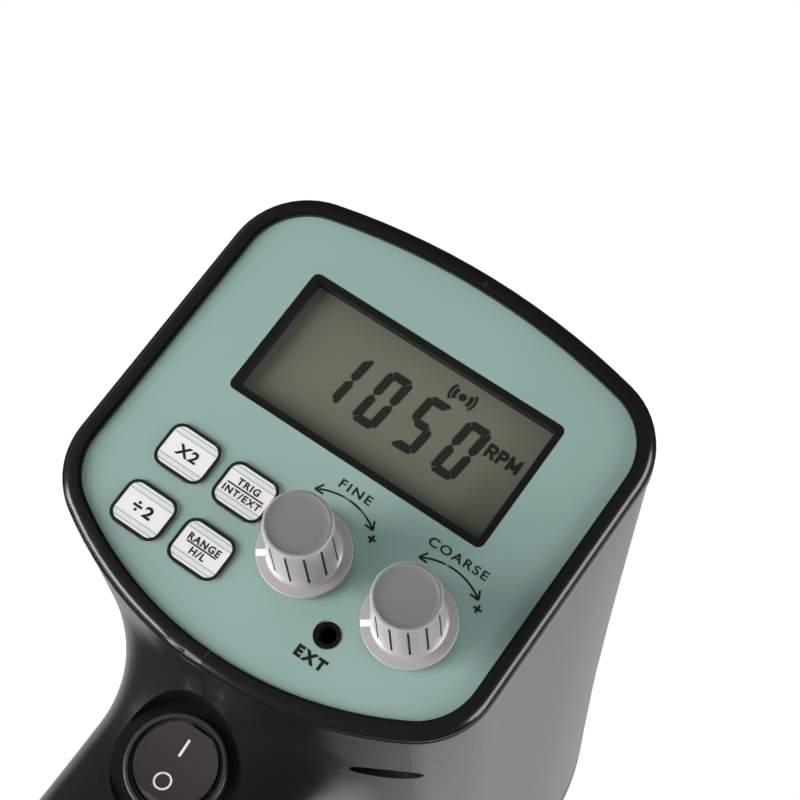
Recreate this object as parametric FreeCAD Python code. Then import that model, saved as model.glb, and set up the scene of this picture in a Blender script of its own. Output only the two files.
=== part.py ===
"""Hand-held xenon stroboscope: a round-fronted barrel on a pistol grip.

Frame: the origin is the mouth of the tripod bush in the foot of the grip. +X is the
right-hand side seen from behind, +Y is the way the light leaves and +Z is up. The
control panel faces -Y. A station is a distance in front of the panel's face.
"""
import FreeCAD, Part
import math
import os
from FreeCAD import Vector, Placement, Rotation

# Layout of the instrument, in millimetres
AXIS_HEIGHT = 150.0
PANEL_SETBACK = 50.0
PANEL_RISE = 4.0
BARREL_LENGTH = 200.0
FRONT_RADIUS = 58.0
WALL = 2.6
BODY_MARGIN = 4.1
OVERRUN = 1.0

# Outline of the control panel, seen from behind
PANEL_HALF_WIDTH = 48.3
PANEL_TOP = 44.4
PANEL_BOTTOM = 52.3
CROWN_RADIUS = 160.0
BELLY_RADIUS = 82.0
PANEL_CORNER = 14.3

# Raised rim round the panel, and the groove that traps the panel plate
RIM_MARGIN = 4.3
RIM_PROUD = 1.3
RIM_DEPTH = 4.9
RIM_OUTER_ROUND = 3.0
RIM_INNER_ROUND = 0.6
LIP_DEPTH = 0.3
GROOVE_MARGIN = 1.7
LEDGE_THICKNESS = 2.0
LEDGE_INSET = 2.2

# Grip
GRIP_HALF_WIDTH = 24.2
GRIP_FOOT_SPREAD = 5.0
GRIP_REAR_STATION = 34.4
GRIP_ROOT_LEAN = 3.0
GRIP_FOOT_LEAN = 1.6
GRIP_ROOT_DEPTH = 50.0
GRIP_DEPTH = 43.0
GRIP_FOOT_DEPTH = 46.0
GRIP_ROOT_BURIAL = 40.0
GRIP_BLEND_RADIUS = 26.0
GRIP_SQUARENESS = 2.5
GRIP_OUTLINE_POINTS = 24
GRIP_WAIST_SHARE = 0.667
GRIP_SEARCH_SHARE = 1.5
BELLY_SEARCH_SHARE = 0.2

# Running and seating clearances
SEAT_CLEARANCE = 0.1
LOOSE_CLEARANCE = 0.15
KEY_CLEARANCE = 0.15
SHAFT_CLEARANCE = 0.04

# Housing screws and their wells
SCREW_SEAT = 8.5
SCREW_RADIUS = 1.5
SCREW_LENGTH = 16.0
SCREW_HEAD_RADIUS = 2.8
SCREW_HEAD_HEIGHT = 2.2
SCREW_SLOT_WIDTH = 0.8
SCREW_SLOT_DEPTH = 1.0
PILOT_RADIUS = 1.3
PILOT_DEPTH = 13.0
WELL_RADIUS = 4.0
POST_WALL = 1.6
REAR_SCREW_STATION = 32.5
REAR_SCREW_DROP = 47.2
CROWN_SCREW_STATION = 30.0
CROWN_SCREW_RISE = 38.0
FRONT_SCREW_STATION = 176.0
FRONT_SCREW_INSET = 12.0
GRIP_SCREW_STATION = 66.0
GRIP_SCREW_HEIGHT = 60.0
FOOT_SCREW_STATION = 70.5
FOOT_SCREW_HEIGHT = 30.0

# Front end: ring, reflector, gasket, lens and its retaining ring
RING_LENGTH = 13.0
RING_REVEAL = 0.8
RING_ROUND = 2.0
RING_WALL = 3.4
SPIGOT_GAP = 2.0
SPIGOT_WALL = 2.0
SPIGOT_LENGTH = 10.0
SPIGOT_LIP = 1.4
SPIGOT_LIP_LENGTH = 3.3
LENS_THICKNESS = 2.5
LENS_CROWN = 3.0
GASKET_THICKNESS = 1.6
GASKET_WIDTH = 2.2
SHOULDER_DEPTH = 3.0
RETAINER_LENGTH = 2.4
RETAINER_WIDTH = 3.2
REFLECTOR_DEPTH = 48.0
REFLECTOR_NECK_RADIUS = 12.0
REFLECTOR_MOUTH_INSET = 1.4
REFLECTOR_THICKNESS = 0.8
REFLECTOR_POINTS = 9
FLANGE_CLEARANCE = 0.2

# Lamp carrier across the barrel, flash tube and its base
CARRIER_SET_BACK = 6.0
CARRIER_THICKNESS = 3.0
CARRIER_GAP = 1.2
CARRIER_RIB = 2.0
CARRIER_RIB_REACH = 2.5
COLLAR_WALL = 2.4
VENT_RADIUS = 6.0
VENT_COUNT = 6
BASE_RADIUS = 11.0
BASE_FLANGE_RADIUS = 14.0
BASE_FLANGE_THICKNESS = 2.4
BASE_LENGTH = 14.0
BASE_REAR = 7.0
TUBE_RADIUS = 2.6
TUBE_WALL = 0.7
TUBE_LEG_PITCH = 14.0
TUBE_LEG_LENGTH = 24.0
ELECTRODE_RADIUS = 0.8
ELECTRODE_LENGTH = 14.0
ELECTRODE_TAIL = 5.0
COIL_RADIUS = 6.0
COIL_LENGTH = 16.0
COIL_OFFSET = 26.0
COIL_CHEEK_SHARE = 0.1
COIL_WOUND_SHARE = 0.85

# Panel plate, film and the board behind them
FILM_THICKNESS = 0.4
PLATE_THICKNESS = 2.5
PLATE_MARGIN = 1.55
BOARD_THICKNESS = 1.6
BOARD_GAP = 5.1
BOARD_HALF_WIDTH = 40.0
BOARD_TOP = 33.0
BOARD_STEP = 8.0
BOARD_LEG_EDGE = 6.2
BOARD_LEG_DROP = 42.0
BOARD_LEG_OUTER = 36.5
STANDOFF_RADIUS = 2.6
STANDOFF_INSET = 3.4
BOARD_SCREW_RADIUS = 1.2
BOARD_SCREW_HEAD_RADIUS = 2.3
BOARD_SCREW_HEAD_HEIGHT = 1.4
BOARD_SCREW_LENGTH = 5.0

# Display
DISPLAY_WIDTH = 61.6
DISPLAY_HEIGHT = 28.9
DISPLAY_RISE = 12.2
DISPLAY_FRAME = 1.6
DISPLAY_FRAME_CORNER = 1.5
DISPLAY_WINDOW_CORNER = 0.5
DISPLAY_FLANGE = 1.2
DISPLAY_FLANGE_THICKNESS = 1.0
GLASS_MARGIN = 0.8
GLASS_DEPTH = 2.8
GLASS_THICKNESS = 2.2
CONNECTOR_WIDTH = 2.2

# Keys
KEY_WIDTH = 12.6
KEY_HEIGHT = 10.6
KEY_CORNER = 2.8
KEY_PITCH = 15.1
KEY_COLUMN = -22.2
KEY_ROW_DROP = 28.8
KEY_PROUD = 0.5
KEY_THICKNESS = 1.4
KEY_TRAVEL = 0.4
KEY_EDGE_ROUND = 0.3
KEY_FLANGE = 0.7
KEY_STEM_RADIUS = 2.0
KEY_GAP = 0.1
SWITCH_SIDE = 6.0
SWITCH_HEIGHT = 3.5
PLUNGER_RADIUS = 1.7
PLUNGER_HEIGHT = 1.0

# Speed knobs and their potentiometers
KNOB_DROP = 24.8
FINE_KNOB_ACROSS = 3.2
COARSE_KNOB_ACROSS = 29.5
SKIRT_RADIUS = 10.0
SKIRT_THICKNESS = 1.2
SKIRT_GAP = 0.4
KNOB_TOP = 18.7
KNOB_TOP_RADIUS = 7.3
KNOB_FOOT_RADIUS = 7.5
KNOB_FOOT_FLARE = 0.9
KNOB_EDGE = 0.6
CAP_RADIUS = 6.3
CAP_THICKNESS = 1.6
CAP_DISH = 0.3
FLUTE_COUNT = 12
FLUTE_RADIUS = 0.5
FLUTE_TOP_MARGIN = 1.6
FLUTE_FOOT_MARGIN = 1.4
SHAFT_RADIUS = 3.0
SHAFT_REACH = 13.0
SHAFT_TAIL = 6.0
SHAFT_FLAT = 1.5
POT_RADIUS = 8.0
POT_LENGTH = 8.0
BUSHING_RADIUS = 3.5
BUSHING_PROUD = 3.0
NUT_ACROSS_FLATS = 10.0
NUT_THICKNESS = 2.0
KNOB_RECESS_RADIUS = 6.2
KNOB_RECESS_DEPTH = 4.2

# Trigger socket
SOCKET_ACROSS = 17.5
SOCKET_DROP = 36.1
SOCKET_HOLE_RADIUS = 3.3
SOCKET_BUSH_RADIUS = 2.9
SOCKET_BORE_RADIUS = 1.8
SOCKET_BORE_LENGTH = 13.0
SOCKET_BODY_SIDE = 9.0
SOCKET_BODY_LENGTH = 12.0
SOCKET_SUNK = 0.3

# Power switch in the back of the grip
POWER_STATION = 35.0
POWER_DROP = 71.6
POWER_TILT = 5.0
BEZEL_RADIUS = 11.4
BEZEL_PROUD = 1.9
BEZEL_SLEEVE_RADIUS = 10.35
BEZEL_ROUND = 0.6
SPOT_RADIUS = 14.6
SPOT_DEPTH = 9.0
SLEEVE_RADIUS = 10.3
SLEEVE_BORE = 9.5
SLEEVE_DEPTH = 16.0
ROCKER_RADIUS = 9.1
ROCKER_SWING_RADIUS = 9.2
ROCKER_HEIGHT = 2.4
ROCKER_DISH_RADIUS = 37.0
ROCKER_PRESSED = 10.0
ROCKER_PIN_RADIUS = 0.9
ROCKER_SKIRT = 2.2
TERMINAL_WIDTH = 4.8
TERMINAL_THICKNESS = 0.8
TERMINAL_LENGTH = 8.0
TERMINAL_PITCH = 7.0

# Foot of the grip: plate, tripod bush and mains inlet
FOOT_THICKNESS = 5.0
FOOT_TONGUE_REACH = 1.2
FOOT_TONGUE_THICKNESS = 1.8
BUSH_RADIUS = 5.0
BUSH_BORE_RADIUS = 2.6
BUSH_LENGTH = 9.0
BUSH_FLANGE_RADIUS = 6.6
BUSH_FLANGE_THICKNESS = 1.5
INLET_FORWARD = 15.5
INLET_WIDTH = 23.0
INLET_DEPTH = 13.0
INLET_HEIGHT = 17.0
INLET_RECESS_WIDTH = 15.6
INLET_RECESS_DEPTH = 8.6
INLET_RECESS_HEIGHT = 11.0
INLET_WAIST_SHARE = 0.8
INLET_FLANGE = 1.6
INLET_FLANGE_THICKNESS = 1.5
INLET_PIN_RADIUS = 1.2
INLET_PIN_PITCH = 8.6
INLET_PIN_SET_BACK = 1.5

# Power board in the barrel and what stands on it
POWER_BOARD_DROP = 24.0
POWER_BOARD_START = 22.0
POWER_BOARD_MARGIN = 9.0
POWER_BOARD_HALF_WIDTH = 40.0
RAIL_REACH = 4.0
RAIL_THICKNESS = 2.0
CAPACITOR_RADIUS = 13.0
CAPACITOR_LENGTH = 46.0
CAPACITOR_STATION = 74.0
CAPACITOR_ACROSS = -17.0
CLAMP_WIDTH = 6.0
CLAMP_THICKNESS = 1.2
CLAMP_FOOT = 4.0
CORE_WIDTH = 32.0
CORE_DEPTH = 27.0
CORE_HEIGHT = 26.0
CORE_STACK = 14.0
CORE_LIMB = 6.0
CORE_ACROSS = 19.0
CORE_STATION = 50.0
WINDING_GAP = 0.3
PULSE_CAP_WIDTH = 26.0
PULSE_CAP_DEPTH = 11.0
PULSE_CAP_HEIGHT = 18.0
PULSE_CAP_STATION = 92.0
REGULATOR_WIDTH = 10.0
REGULATOR_THICKNESS = 4.5
REGULATOR_HEIGHT = 16.0
REGULATOR_BODY_SHARE = 0.6
REGULATOR_STATION = 76.0
SMALL_CAN_RADIUS = 5.0
SMALL_CAN_HEIGHT = 18.0
SMALL_CAN_PITCH = 12.0
SMALL_CAN_STATION = 112.0
FUSE_RADIUS = 2.6
FUSE_LENGTH = 20.0
FUSE_CAP_LENGTH = 5.0
FUSE_STATION = 32.0

PANEL_Y = -PANEL_SETBACK
PANEL_Z = AXIS_HEIGHT + PANEL_RISE
PLATE_START = FILM_THICKNESS
PLATE_END = PLATE_START + PLATE_THICKNESS
LEDGE_START = PLATE_END + SEAT_CLEARANCE
LEDGE_END = LEDGE_START + LEDGE_THICKNESS
BOARD_START = PLATE_END + BOARD_GAP
BOARD_END = BOARD_START + BOARD_THICKNESS
SHOULDER_STATION = BARREL_LENGTH + SHOULDER_DEPTH
RING_RADIUS = FRONT_RADIUS
SPIGOT_RADIUS = FRONT_RADIUS - WALL - SPIGOT_GAP
FRONT_SCREW_REACH = FRONT_RADIUS - FRONT_SCREW_INSET
LENS_RADIUS = RING_RADIUS - RING_WALL - SEAT_CLEARANCE
FLANGE_RADIUS = LENS_RADIUS - FLANGE_CLEARANCE
REFLECTOR_MOUTH_RADIUS = SPIGOT_RADIUS - SPIGOT_WALL - REFLECTOR_MOUTH_INSET
REFLECTOR_FOCUS = REFLECTOR_MOUTH_RADIUS ** 2 / (4 * REFLECTOR_DEPTH)
CARRIER_STATION = SHOULDER_STATION - REFLECTOR_DEPTH - CARRIER_SET_BACK
CARRIER_END = CARRIER_STATION + CARRIER_THICKNESS
REAR_INSIDE = PANEL_HALF_WIDTH + BODY_MARGIN - WALL
FRONT_INSIDE = FRONT_RADIUS - WALL
CARRIER_INSIDE = REAR_INSIDE + (FRONT_INSIDE - REAR_INSIDE) * CARRIER_STATION / BARREL_LENGTH
CARRIER_RADIUS = CARRIER_INSIDE - CARRIER_GAP
VENT_CIRCLE = (CARRIER_RADIUS + BASE_FLANGE_RADIUS) / 2
RING_END = BARREL_LENGTH + RING_LENGTH
FLANGE_END = SHOULDER_STATION + REFLECTOR_THICKNESS
GASKET_END = FLANGE_END + GASKET_THICKNESS
LENS_END = GASKET_END + LENS_THICKNESS
AXIS_UP = -PANEL_RISE
POWER_BOARD_UP = AXIS_UP - POWER_BOARD_DROP
POWER_BOARD_END = SMALL_CAN_STATION + SMALL_CAN_RADIUS + POWER_BOARD_MARGIN
RAIL_INSIDE = POWER_BOARD_HALF_WIDTH - RAIL_REACH
PLUNGER_STATION = BOARD_START - SWITCH_HEIGHT - PLUNGER_HEIGHT
KEY_BACK = KEY_THICKNESS - KEY_PROUD


def place(across, up, station):
    """Point given across and up from the panel's middle, at a station."""
    return Vector(across, PANEL_Y + station, PANEL_Z + up)


def block(low, high):
    """Box between two opposite corners."""
    size = high - low
    return Part.makeBox(size.x, size.y, size.z, low)


def rod_x(station, up, radius, left, right):
    """Cylinder across the instrument."""
    return Part.makeCylinder(radius, right - left, place(left, up, station), Vector(1, 0, 0))


def rod_y(across, up, radius, start, end):
    """Cylinder along the barrel between two stations."""
    return Part.makeCylinder(radius, end - start, place(across, up, start), Vector(0, 1, 0))


def rod_z(across, y, radius, low, high):
    """Upright cylinder between two heights."""
    return Part.makeCylinder(radius, high - low, Vector(across, y, low), Vector(0, 0, 1))


def pipe_y(across, up, outer, inner, start, end):
    """Tube along the barrel between two stations."""
    bore = rod_y(across, up, inner, start - OVERRUN, end + OVERRUN)
    return rod_y(across, up, outer, start, end).cut(bore)


def pad_y(across, up, width, height, corner, start, end):
    """Flat pad facing the user, with four rounded corners."""
    low = place(across - width / 2, up - height / 2, start)
    high = place(across + width / 2, up + height / 2, end)
    pad = block(low, high)
    along = [edge for edge in pad.Edges if abs(edge.tangentAt(edge.FirstParameter).y) > 0.5]
    return pad.makeFillet(corner, along)


def turned(points, across, up):
    """Solid turned about an axis along the barrel, from (radius, station) points."""
    corners = [place(across + radius, up, station) for radius, station in points]
    profile = Part.Face(Part.makePolygon(corners + corners[:1]))
    return profile.revolve(place(across, up, 0), Vector(0, 1, 0), 360)


def fused(shapes):
    """One shape from several that touch or overlap."""
    first, *others = shapes
    return first.fuse(others).removeSplitter()


def group(shapes):
    """Several separate solids kept together in one piece."""
    return Part.Compound(shapes)


def arc_between(centre, start, end):
    """Arc about a centre from one point to another, the short way."""
    radius = (start - centre).Length
    middle = centre + (start + end - centre * 2).normalize() * radius
    return Part.Arc(start, middle, end).toShape()


def half_outline(grow):
    """Right half of the panel's outline, grown outwards: its edges and their ends."""
    corner_across = PANEL_HALF_WIDTH - PANEL_CORNER
    corner = PANEL_CORNER + grow
    crown_centre = Vector(0, 0, PANEL_TOP - CROWN_RADIUS)
    belly_centre = Vector(0, 0, BELLY_RADIUS - PANEL_BOTTOM)
    crown_rise = math.sqrt((CROWN_RADIUS - PANEL_CORNER) ** 2 - corner_across ** 2)
    belly_drop = math.sqrt((BELLY_RADIUS - PANEL_CORNER) ** 2 - corner_across ** 2)
    upper = crown_centre + Vector(corner_across, 0, crown_rise)
    lower = belly_centre + Vector(corner_across, 0, -belly_drop)
    crown = Vector(0, 0, PANEL_TOP + grow)
    shoulder = upper + (upper - crown_centre).normalize() * corner
    side_top = upper + Vector(corner, 0, 0)
    side_foot = lower + Vector(corner, 0, 0)
    hip = lower + (lower - belly_centre).normalize() * corner
    belly = Vector(0, 0, -PANEL_BOTTOM - grow)
    edges = [
        arc_between(crown_centre, crown, shoulder),
        arc_between(upper, shoulder, side_top),
        Part.makeLine(side_top, side_foot),
        arc_between(lower, side_foot, hip),
        arc_between(belly_centre, hip, belly),
    ]
    return edges, [crown, shoulder, side_top, side_foot, hip, belly]


def half_round(radius, points):
    """Right half of the round front, split at the same bearings as the outline's ends."""
    centre = Vector(0, 0, AXIS_UP)
    ends = []
    for point in points:
        ends.append(centre + (point - centre).normalize() * radius)
    return [arc_between(centre, start, end) for start, end in zip(ends, ends[1:])]


def whole_wire(half_edges, station):
    """Closed wire at a station, from the edges of its right half."""
    half = Part.Wire(half_edges)
    other = half.mirror(Vector(), Vector(1, 0, 0))
    wire = Part.Wire(Part.__sortEdges__(half.Edges + other.Edges))
    wire.translate(place(0, 0, station))
    return wire


def panel_prism(grow, start, end):
    """Straight prism of the panel's outline between two stations."""
    edges, _ = half_outline(grow)
    return Part.Face(whole_wire(edges, start)).extrude(Vector(0, end - start, 0))


def grip_section(height, half_width, rear_station, depth, inset):
    """Squarish oval cross-section of the grip at a height."""
    power = 2 / GRIP_SQUARENESS
    middle = PANEL_Y + rear_station + depth / 2
    points = []
    for index in range(GRIP_OUTLINE_POINTS):
        angle = 2 * math.pi * index / GRIP_OUTLINE_POINTS
        wide = math.copysign(abs(math.cos(angle)) ** power, math.cos(angle))
        deep = math.copysign(abs(math.sin(angle)) ** power, math.sin(angle))
        points.append(Vector((half_width - inset) * wide, middle + (depth / 2 - inset) * deep, height))
    curve = Part.BSplineCurve()
    curve.interpolate(Points=points, PeriodicFlag=True)
    return Part.Wire([curve.toShape()])


def foot_section(height, inset):
    """Cross-section of the grip's foot."""
    foot_rear = GRIP_REAR_STATION + GRIP_FOOT_LEAN
    return grip_section(height, GRIP_HALF_WIDTH + GRIP_FOOT_SPREAD, foot_rear, GRIP_FOOT_DEPTH, inset)


def foot_prism(inset, low, high):
    """Straight prism of the foot's cross-section between two heights."""
    return Part.Face(foot_section(low, inset)).extrude(Vector(0, 0, high - low))


def housing_form(inset, overrun):
    """Outside of the housing, or its inside when inset by the wall."""
    edges, ends = half_outline(BODY_MARGIN - inset)
    rear = whole_wire(edges, 0)
    front = whole_wire(half_round(FRONT_RADIUS - inset, ends), BARREL_LENGTH + overrun)
    barrel = Part.makeLoft([rear, front], True, True)
    root_height = AXIS_HEIGHT - GRIP_ROOT_BURIAL
    root_rear = GRIP_REAR_STATION - GRIP_ROOT_LEAN
    sections = [
        grip_section(root_height, GRIP_HALF_WIDTH, root_rear, GRIP_ROOT_DEPTH, inset),
        grip_section(root_height * GRIP_WAIST_SHARE, GRIP_HALF_WIDTH, GRIP_REAR_STATION, GRIP_DEPTH, inset),
        foot_section(-overrun, inset),
    ]
    whole = barrel.fuse(Part.makeLoft(sections, True, False))
    root = [edge for edge in whole.Edges if on_grip_root(edge)]
    return whole.makeFillet(GRIP_BLEND_RADIUS + inset, root)


def on_grip_root(edge):
    """True for the edges where the grip meets the barrel."""
    box = edge.BoundBox
    belly = PANEL_Z - PANEL_BOTTOM - RING_RADIUS * BELLY_SEARCH_SHARE
    near_belly = belly < box.ZMin and box.ZMax < AXIS_HEIGHT - GRIP_ROOT_BURIAL
    reach = GRIP_HALF_WIDTH * GRIP_SEARCH_SHARE
    beside_grip = box.XMax < reach and box.XMin > -reach
    behind = box.YMin > PANEL_Y + GRIP_REAR_STATION / 2 and box.YMax < PANEL_Y + BARREL_LENGTH / 2
    return near_belly and beside_grip and behind


def screw_places():
    """Station and rise of each housing screw, from the panel's middle."""
    grip = GRIP_SCREW_HEIGHT - PANEL_Z
    foot = FOOT_SCREW_HEIGHT - PANEL_Z
    return [
        (REAR_SCREW_STATION, -REAR_SCREW_DROP),
        (CROWN_SCREW_STATION, CROWN_SCREW_RISE),
        (FRONT_SCREW_STATION, AXIS_UP - FRONT_SCREW_REACH),
        (FRONT_SCREW_STATION, AXIS_UP + FRONT_SCREW_REACH),
        (GRIP_SCREW_STATION, grip),
        (FOOT_SCREW_STATION, foot),
    ]


def power_frame():
    """Placement whose +Z points out of the power switch, from the spot face."""
    middle = place(0, -POWER_DROP, POWER_STATION)
    return Placement(middle, Rotation(Vector(1, 0, 0), 90 + POWER_TILT))


def on_grip(shape):
    """A shape built about the power switch's own axis, set in the grip."""
    shape.Placement = power_frame().multiply(shape.Placement)
    return shape


def rim():
    """Raised bead round the panel, with the groove and ledge behind it."""
    bead = panel_prism(RIM_MARGIN, -RIM_PROUD, RIM_DEPTH)
    outer = [edge for edge in bead.Edges if edge.BoundBox.YMax < PANEL_Y]
    return bead.makeFillet(RIM_OUTER_ROUND, outer)


def rim_opening():
    """Everything cut away for the panel plate, from the lip to the ledge."""
    lip = panel_prism(SEAT_CLEARANCE, -RIM_PROUD - OVERRUN, LIP_DEPTH + OVERRUN)
    flare = panel_prism(SEAT_CLEARANCE + RIM_INNER_ROUND, -RIM_PROUD - OVERRUN, -RIM_PROUD + RIM_INNER_ROUND)
    groove = panel_prism(GROOVE_MARGIN, LIP_DEPTH, LEDGE_START)
    window = panel_prism(-LEDGE_INSET, LEDGE_START - OVERRUN, LEDGE_END + OVERRUN)
    return [lip, flare, groove, window]


def side_block(side, inner, outer, span, stations):
    """Block on one side of the middle plane, between two rises and two stations."""
    left, right = sorted((side * inner, side * outer))
    return block(place(left, span[0], stations[0]), place(right, span[1], stations[1]))


def rail_span(grow):
    """Lowest and highest rise of the slot for the power board, grown by a margin."""
    low = POWER_BOARD_UP - BOARD_THICKNESS - SEAT_CLEARANCE
    return low - grow, POWER_BOARD_UP + SEAT_CLEARANCE + grow


def rail_stations(grow):
    """First and last station of the slot for the power board, grown by a margin."""
    return POWER_BOARD_START - SEAT_CLEARANCE - grow, POWER_BOARD_END + SEAT_CLEARANCE + grow


def inside_ribs():
    """Ribs that hold the carrier, the front ring and the power board."""
    reach = RING_RADIUS + WALL
    carrier_hole = CARRIER_RADIUS - CARRIER_RIB_REACH
    behind = CARRIER_STATION - SEAT_CLEARANCE
    ahead = CARRIER_END + SEAT_CLEARANCE
    ring_start = BARREL_LENGTH - SPIGOT_LENGTH + SPIGOT_LIP_LENGTH + SEAT_CLEARANCE
    ribs = [
        pipe_y(0, AXIS_UP, reach, carrier_hole, behind - CARRIER_RIB, behind),
        pipe_y(0, AXIS_UP, reach, carrier_hole, ahead, ahead + CARRIER_RIB),
        pipe_y(0, AXIS_UP, reach, SPIGOT_RADIUS + SEAT_CLEARANCE, ring_start, BARREL_LENGTH),
    ]
    span = rail_span(RAIL_THICKNESS)
    stations = rail_stations(RAIL_THICKNESS)
    flange_top = FOOT_THICKNESS + INLET_FLANGE_THICKNESS + SEAT_CLEARANCE - PANEL_Z
    inlet_span = (flange_top, flange_top + RAIL_THICKNESS)
    inlet_edge = INLET_WIDTH / 2 + SEAT_CLEARANCE
    inlet_middle = PANEL_SETBACK + INLET_FORWARD
    inlet_stations = (inlet_middle - INLET_DEPTH / 2, inlet_middle + INLET_DEPTH / 2)
    for side in (-1, 1):
        ribs.append(side_block(side, RAIL_INSIDE, reach, span, stations))
        ribs.append(side_block(side, inlet_edge, reach, inlet_span, inlet_stations))
    return ribs


def housing_halves():
    """Left and right halves of the housing, parted on the middle plane."""
    outside = housing_form(0, 0)
    inside = housing_form(WALL, OVERRUN)
    cavity_start = place(-RING_RADIUS, -AXIS_HEIGHT * 2, LEDGE_END)
    cavity_end = place(RING_RADIUS, AXIS_HEIGHT, BARREL_LENGTH * 2)
    inside = inside.common(block(cavity_start, cavity_end))
    pad = on_grip(Part.makeCylinder(SPOT_RADIUS, SPOT_DEPTH, Vector(0, 0, -SPOT_DEPTH)))
    scoop = on_grip(Part.makeCylinder(SPOT_RADIUS, GRIP_DEPTH, Vector()))
    outside = outside.fuse([rim(), pad]).cut(scoop)
    cup = on_grip(Part.makeCylinder(SPOT_RADIUS + WALL, GRIP_DEPTH, Vector(0, 0, -WALL)))
    shell = outside.cut(inside).fuse(cup.common(outside))
    ribs = [rib.common(outside) for rib in inside_ribs()]
    board_edge = POWER_BOARD_HALF_WIDTH + SEAT_CLEARANCE
    board_slot = side_block(1, -board_edge, board_edge, rail_span(0), rail_stations(0))
    shell = shell.fuse(ribs).cut(board_slot)
    hole_radius = SLEEVE_RADIUS + SEAT_CLEARANCE
    sleeve_hole = Part.makeCylinder(hole_radius, SLEEVE_DEPTH + OVERRUN, Vector(0, 0, -SLEEVE_DEPTH))
    sleeve_hole = on_grip(sleeve_hole)
    foot_seat = foot_prism(WALL, -OVERRUN, FOOT_THICKNESS + SEAT_CLEARANCE)
    tongue_low = (FOOT_THICKNESS - FOOT_TONGUE_THICKNESS) / 2
    tongue_inset = WALL - FOOT_TONGUE_REACH - SEAT_CLEARANCE
    tongue_high = tongue_low + FOOT_TONGUE_THICKNESS + SEAT_CLEARANCE
    tongue_seat = foot_prism(tongue_inset, tongue_low - SEAT_CLEARANCE, tongue_high)
    shell = shell.cut(rim_opening() + [sleeve_hole, foot_seat, tongue_seat])

    reach = RING_RADIUS + WALL
    rear = PANEL_SETBACK + RING_RADIUS
    right_side = Part.makeBox(reach, BARREL_LENGTH + rear, BARREL_LENGTH * 2, Vector(0, -rear, -RING_RADIUS))
    left_side = right_side.mirror(Vector(), Vector(1, 0, 0))
    right_posts = []
    right_holes = []
    left_posts = []
    left_holes = []
    for station, up in screw_places():
        post_radius = WELL_RADIUS + POST_WALL
        right_posts.append(rod_x(station, up, post_radius, 0, reach).common(outside))
        right_holes.append(rod_x(station, up, SCREW_RADIUS + LOOSE_CLEARANCE, -OVERRUN, reach))
        right_holes.append(rod_x(station, up, WELL_RADIUS, SCREW_SEAT, reach))
        left_posts.append(rod_x(station, up, WELL_RADIUS, -reach, 0).common(outside))
        left_holes.append(rod_x(station, up, PILOT_RADIUS, -PILOT_DEPTH, OVERRUN))
    right = shell.common(right_side).fuse(right_posts).cut(right_holes)
    left = shell.common(left_side).fuse(left_posts).cut(left_holes)
    return left, right


def housing_screws():
    """Pan-head screws, driven from the bottoms of the wells in the right half."""
    screws = []
    for station, up in screw_places():
        shank = rod_x(station, up, PILOT_RADIUS, SCREW_SEAT - SCREW_LENGTH, SCREW_SEAT + OVERRUN)
        head = rod_x(station, up, SCREW_HEAD_RADIUS, SCREW_SEAT, SCREW_SEAT + SCREW_HEAD_HEIGHT)
        slot_half = SCREW_SLOT_WIDTH / 2
        slot_floor = SCREW_SEAT + SCREW_HEAD_HEIGHT - SCREW_SLOT_DEPTH
        slot_top = SCREW_SEAT + SCREW_HEAD_HEIGHT + OVERRUN
        arm = SCREW_HEAD_RADIUS * 2 / 3
        upright_low = place(slot_floor, up - arm, station - slot_half)
        upright = block(upright_low, place(slot_top, up + arm, station + slot_half))
        level_low = place(slot_floor, up - slot_half, station - arm)
        level = block(level_low, place(slot_top, up + slot_half, station + arm))
        screws.append(shank.fuse(head).cut([upright, level]).removeSplitter())
    return group(screws)


def front_ring():
    """Ring flush with the front of the barrel, with its trapped spigot."""
    spigot_bore = SPIGOT_RADIUS - SPIGOT_WALL
    spigot_start = BARREL_LENGTH - SPIGOT_LENGTH
    lip_end = spigot_start + SPIGOT_LIP_LENGTH
    glass_bore = LENS_RADIUS + SEAT_CLEARANCE
    profile = [
        (spigot_bore, spigot_start),
        (SPIGOT_RADIUS + SPIGOT_LIP, spigot_start),
        (SPIGOT_RADIUS + SPIGOT_LIP, lip_end),
        (SPIGOT_RADIUS, lip_end),
        (SPIGOT_RADIUS, BARREL_LENGTH),
        (RING_RADIUS - RING_REVEAL, BARREL_LENGTH),
        (RING_RADIUS, BARREL_LENGTH + RING_REVEAL),
        (RING_RADIUS, RING_END - RING_ROUND),
        (RING_RADIUS - RING_ROUND, RING_END),
        (glass_bore + RING_ROUND / 2, RING_END),
        (glass_bore, RING_END - RING_ROUND / 2),
        (glass_bore, SHOULDER_STATION),
        (spigot_bore, SHOULDER_STATION),
    ]
    return turned(profile, 0, AXIS_UP)


def lens():
    """Clear front window, crowned inside its flat rim."""
    flat = LENS_RADIUS - RETAINER_WIDTH - SEAT_CLEARANCE
    disc = rod_y(0, AXIS_UP, LENS_RADIUS, GASKET_END, LENS_END)
    return disc.fuse(crown_cap(flat, LENS_END, LENS_CROWN)).cut(crown_cap(flat, GASKET_END, LENS_CROWN))


def crown_cap(radius, station, rise):
    """Shallow spherical cap standing on a circle at a station."""
    sphere = (radius ** 2 + rise ** 2) / (2 * rise)
    ball = Part.makeSphere(sphere, place(0, AXIS_UP, station + rise - sphere))
    return ball.common(rod_y(0, AXIS_UP, radius, station, station + rise + OVERRUN))


def lens_gasket():
    """Flat rubber ring between the reflector's flange and the lens."""
    outer = LENS_RADIUS - SEAT_CLEARANCE
    return pipe_y(0, AXIS_UP, outer, LENS_RADIUS - GASKET_WIDTH, FLANGE_END, GASKET_END)


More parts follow.
